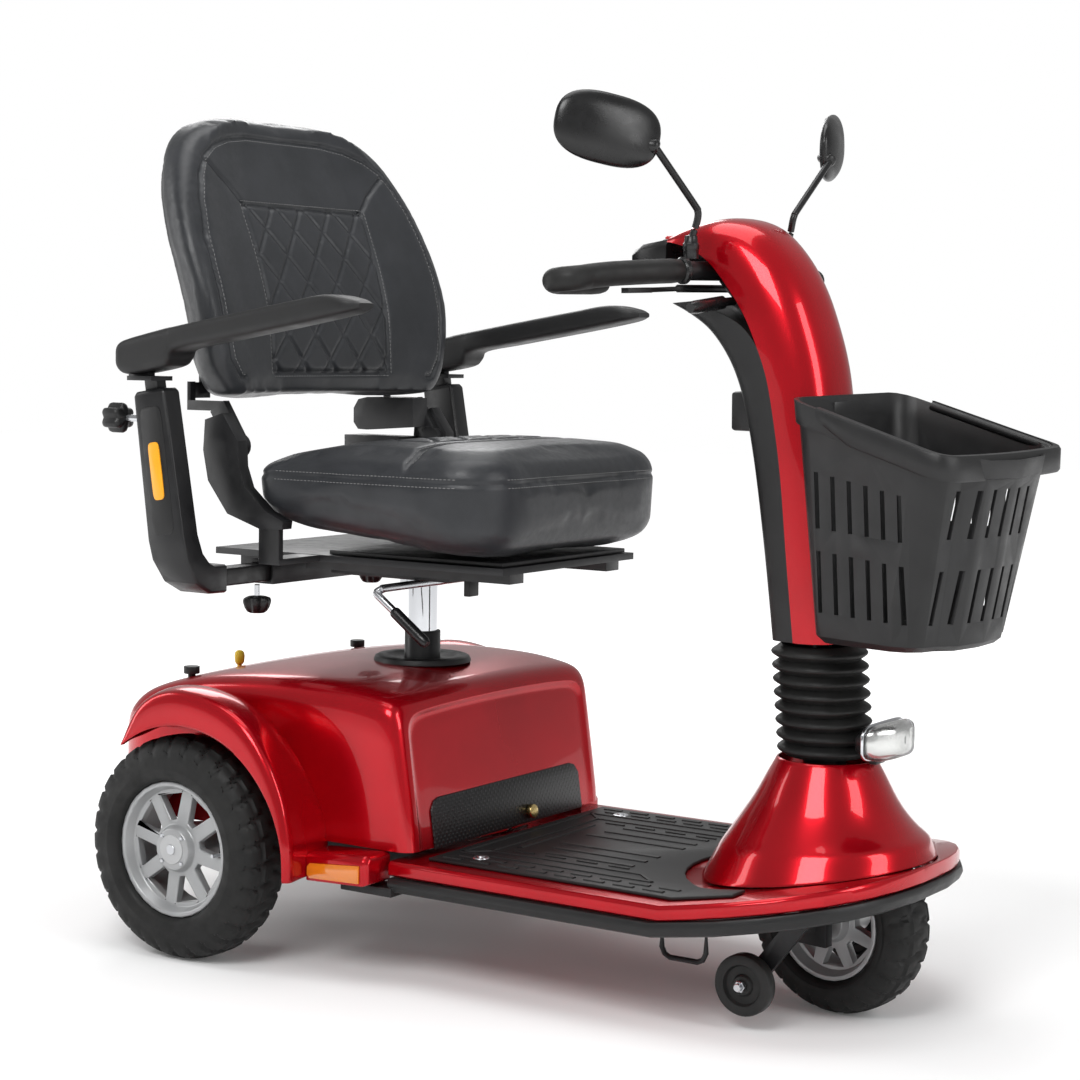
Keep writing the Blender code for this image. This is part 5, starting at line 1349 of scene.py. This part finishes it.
def gap_to(lines, y, z):
    # distance in the pad's front plane from (y, z) to the nearest of the lines
    best = 9.0
    for line in lines:
        for (ay, az), (by, bz) in zip(line[:-1], line[1:]):
            dy, dz = by - ay, bz - az
            f = max(0.0, min(1.0, ((y - ay) * dy + (z - az) * dz) / (dy * dy + dz * dz)))
            best = min(best, math.hypot(y - ay - f * dy, z - az - f * dz))
    return best


SHOULDER = [(0.124, 0.949), (0.146, 0.972), (0.172, 0.993), (0.186, 1.003)]
SHOULDERS = [[(s * y, z) for y, z in SHOULDER] for s in (-1, 1)]
SEAMS = [outline(0.026)] + SHOULDERS
PANEL_LOW, PANEL_TOP = 0.732, 0.948
BACK_QUILT = 0.068
for v in back.data.vertices:
    x, y, z = v.co
    face = x > -0.030 - 0.35 * (z - 0.70) + SHIFT.x - 0.012
    if not face:
        continue
    v.co.x -= 0.0042 * groove(gap_to(SEAMS, y, z), 0.0032)
    half = back_panel(z)
    if 0.728 < z < 0.952 and abs(y) < half + 0.008:
        edge = min(abs(z - PANEL_LOW), abs(z - PANEL_TOP)) if abs(y) < half else 9
        edge = min(edge, abs(abs(y) - half) if PANEL_LOW < z < PANEL_TOP else 9)
        v.co.x -= 0.0040 * groove(edge, 0.0038)
        if abs(y) < half and PANEL_LOW < z < PANEL_TOP:
            u = ((z + 1.15 * y) / BACK_QUILT) % 1.0
            w = ((z - 1.15 * y) / BACK_QUILT) % 1.0
            d = min(min(u, 1 - u), min(w, 1 - w)) * BACK_QUILT * 0.66
            v.co.x -= 0.0032 * groove(d, 0.0029)
finish_soft(back, LEATHER, "backrest", "backrest_pad")
lines = []
for s in (-1, 1):
    foot = s * (back_panel(PANEL_LOW) + 0.0045)
    lines.append([(0.05, foot, 0.730), (0.05, s * (back_panel(PANEL_TOP) + 0.0045), 0.950)])
for half, z in ((0.121, 0.7275), (0.125, 0.9525)):
    lines.append([(0.05, -half, z), (0.05, half, z)])
moved = [[(x + SHIFT.x, y, z) for x, y, z in line] for line in lines]
moved.append([(0.05 + SHIFT.x, y, z) for y, z in outline(0.0305)])
stitches("backrest_stitches", back, moved, (-1, 0, 0), "backrest")

# ---------------------------------------------------------------- stage, light, camera
bm = bmesh.new()
bmesh.ops.create_grid(bm, x_segments=2, y_segments=2, size=12.0)
floor = bpy.data.objects.new("studio_floor", make(bm))
floor_look = Look("pale_floor_painted_glow", (0.90, 0.90, 0.90), 0.95)
floor_look.set(Specular_IOR_Level=0.05)
# painted light: the floor glows more the farther it lies from the middle, under the scooter, from 0.05
# within 0.8 m to 0.68 beyond 2.6 m, so the far floor reads white
reach = floor_look.add("ShaderNodeVectorMath")
reach.operation = "LENGTH"
floor_look.link(floor_look.where, reach.inputs[0])
glow = floor_look.span(reach.outputs["Value"], 0.8, 2.6, 0.05, 0.68)
floor_look.set(Emission_Color=(1.0, 1.0, 1.0, 1.0))
floor_look.link(glow, floor_look.shader.inputs["Emission Strength"])
floor.data.materials.append(floor_look.mat)
scene.collection.objects.link(floor)

world = bpy.data.worlds.new("studio")
scene.world = world
world.use_nodes = True
sky = world.node_tree.nodes["Background"]
sky.inputs["Color"].default_value = (1.0, 1.0, 1.0, 1.0)
seen = world.node_tree.nodes.new("ShaderNodeLightPath")
level = world.node_tree.nodes.new("ShaderNodeMapRange")
level.inputs["To Min"].default_value = 0.40
level.inputs["To Max"].default_value = 1.0
world.node_tree.links.new(seen.outputs["Is Camera Ray"], level.inputs["Value"])
world.node_tree.links.new(level.outputs["Result"], sky.inputs["Strength"])


def softbox(name, at, aim, size, power):
    # A rectangular area light that stands at one point and faces another.
    lamp = bpy.data.lights.new(name, "AREA")
    lamp.shape = "RECTANGLE"
    lamp.size, lamp.size_y = size
    lamp.energy = power
    ob = bpy.data.objects.new(name, lamp)
    ob.location = at
    ob.rotation_euler = (Vector(aim) - Vector(at)).to_track_quat("-Z", "Y").to_euler()
    scene.collection.objects.link(ob)


softbox("key", (0.6, -2.6, 2.7), (0, 0, 0.4), (1.5, 1.3), 62)
softbox("fill", (3.0, -0.2, 1.7), (0, 0, 0.4), (0.9, 1.9), 34)
softbox("top", (-0.2, 0.0, 3.2), (0, 0, 0), (2.6, 1.6), 42)
softbox("back", (-2.2, 2.2, 2.2), (0, 0, 0.5), (1.6, 1.2), 26)
softbox("left_strip", (-2.8, -1.2, 1.2), (-0.2, 0, 0.4), (0.5, 2.0), 16)

YAW = math.radians(33.47)
PITCH = math.radians(4.77)
ROLL = math.radians(0.83)
level_ahead = math.cos(PITCH)
ahead = Vector((-math.sin(YAW) * level_ahead, math.cos(YAW) * level_ahead, -math.sin(PITCH)))
right = ahead.cross(Vector((0, 0, 1))).normalized()
up = right.cross(ahead)
right2 = math.cos(ROLL) * right + math.sin(ROLL) * up
up2 = -math.sin(ROLL) * right + math.cos(ROLL) * up
lens = bpy.data.cameras.new("camera")
lens.sensor_width = 36.0
lens.lens = 78.495
lens.shift_y = -0.0021
lens.clip_end = 60.0
camera = bpy.data.objects.new("camera", lens)
turned = Matrix((right2, up2, -ahead)).transposed().to_4x4()
camera.matrix_world = Matrix.Translation(Vector((1.9709, -2.4589, 0.7773)) + SHIFT) @ turned
scene.collection.objects.link(camera)
scene.camera = camera
scene.view_settings.view_transform = "Standard"
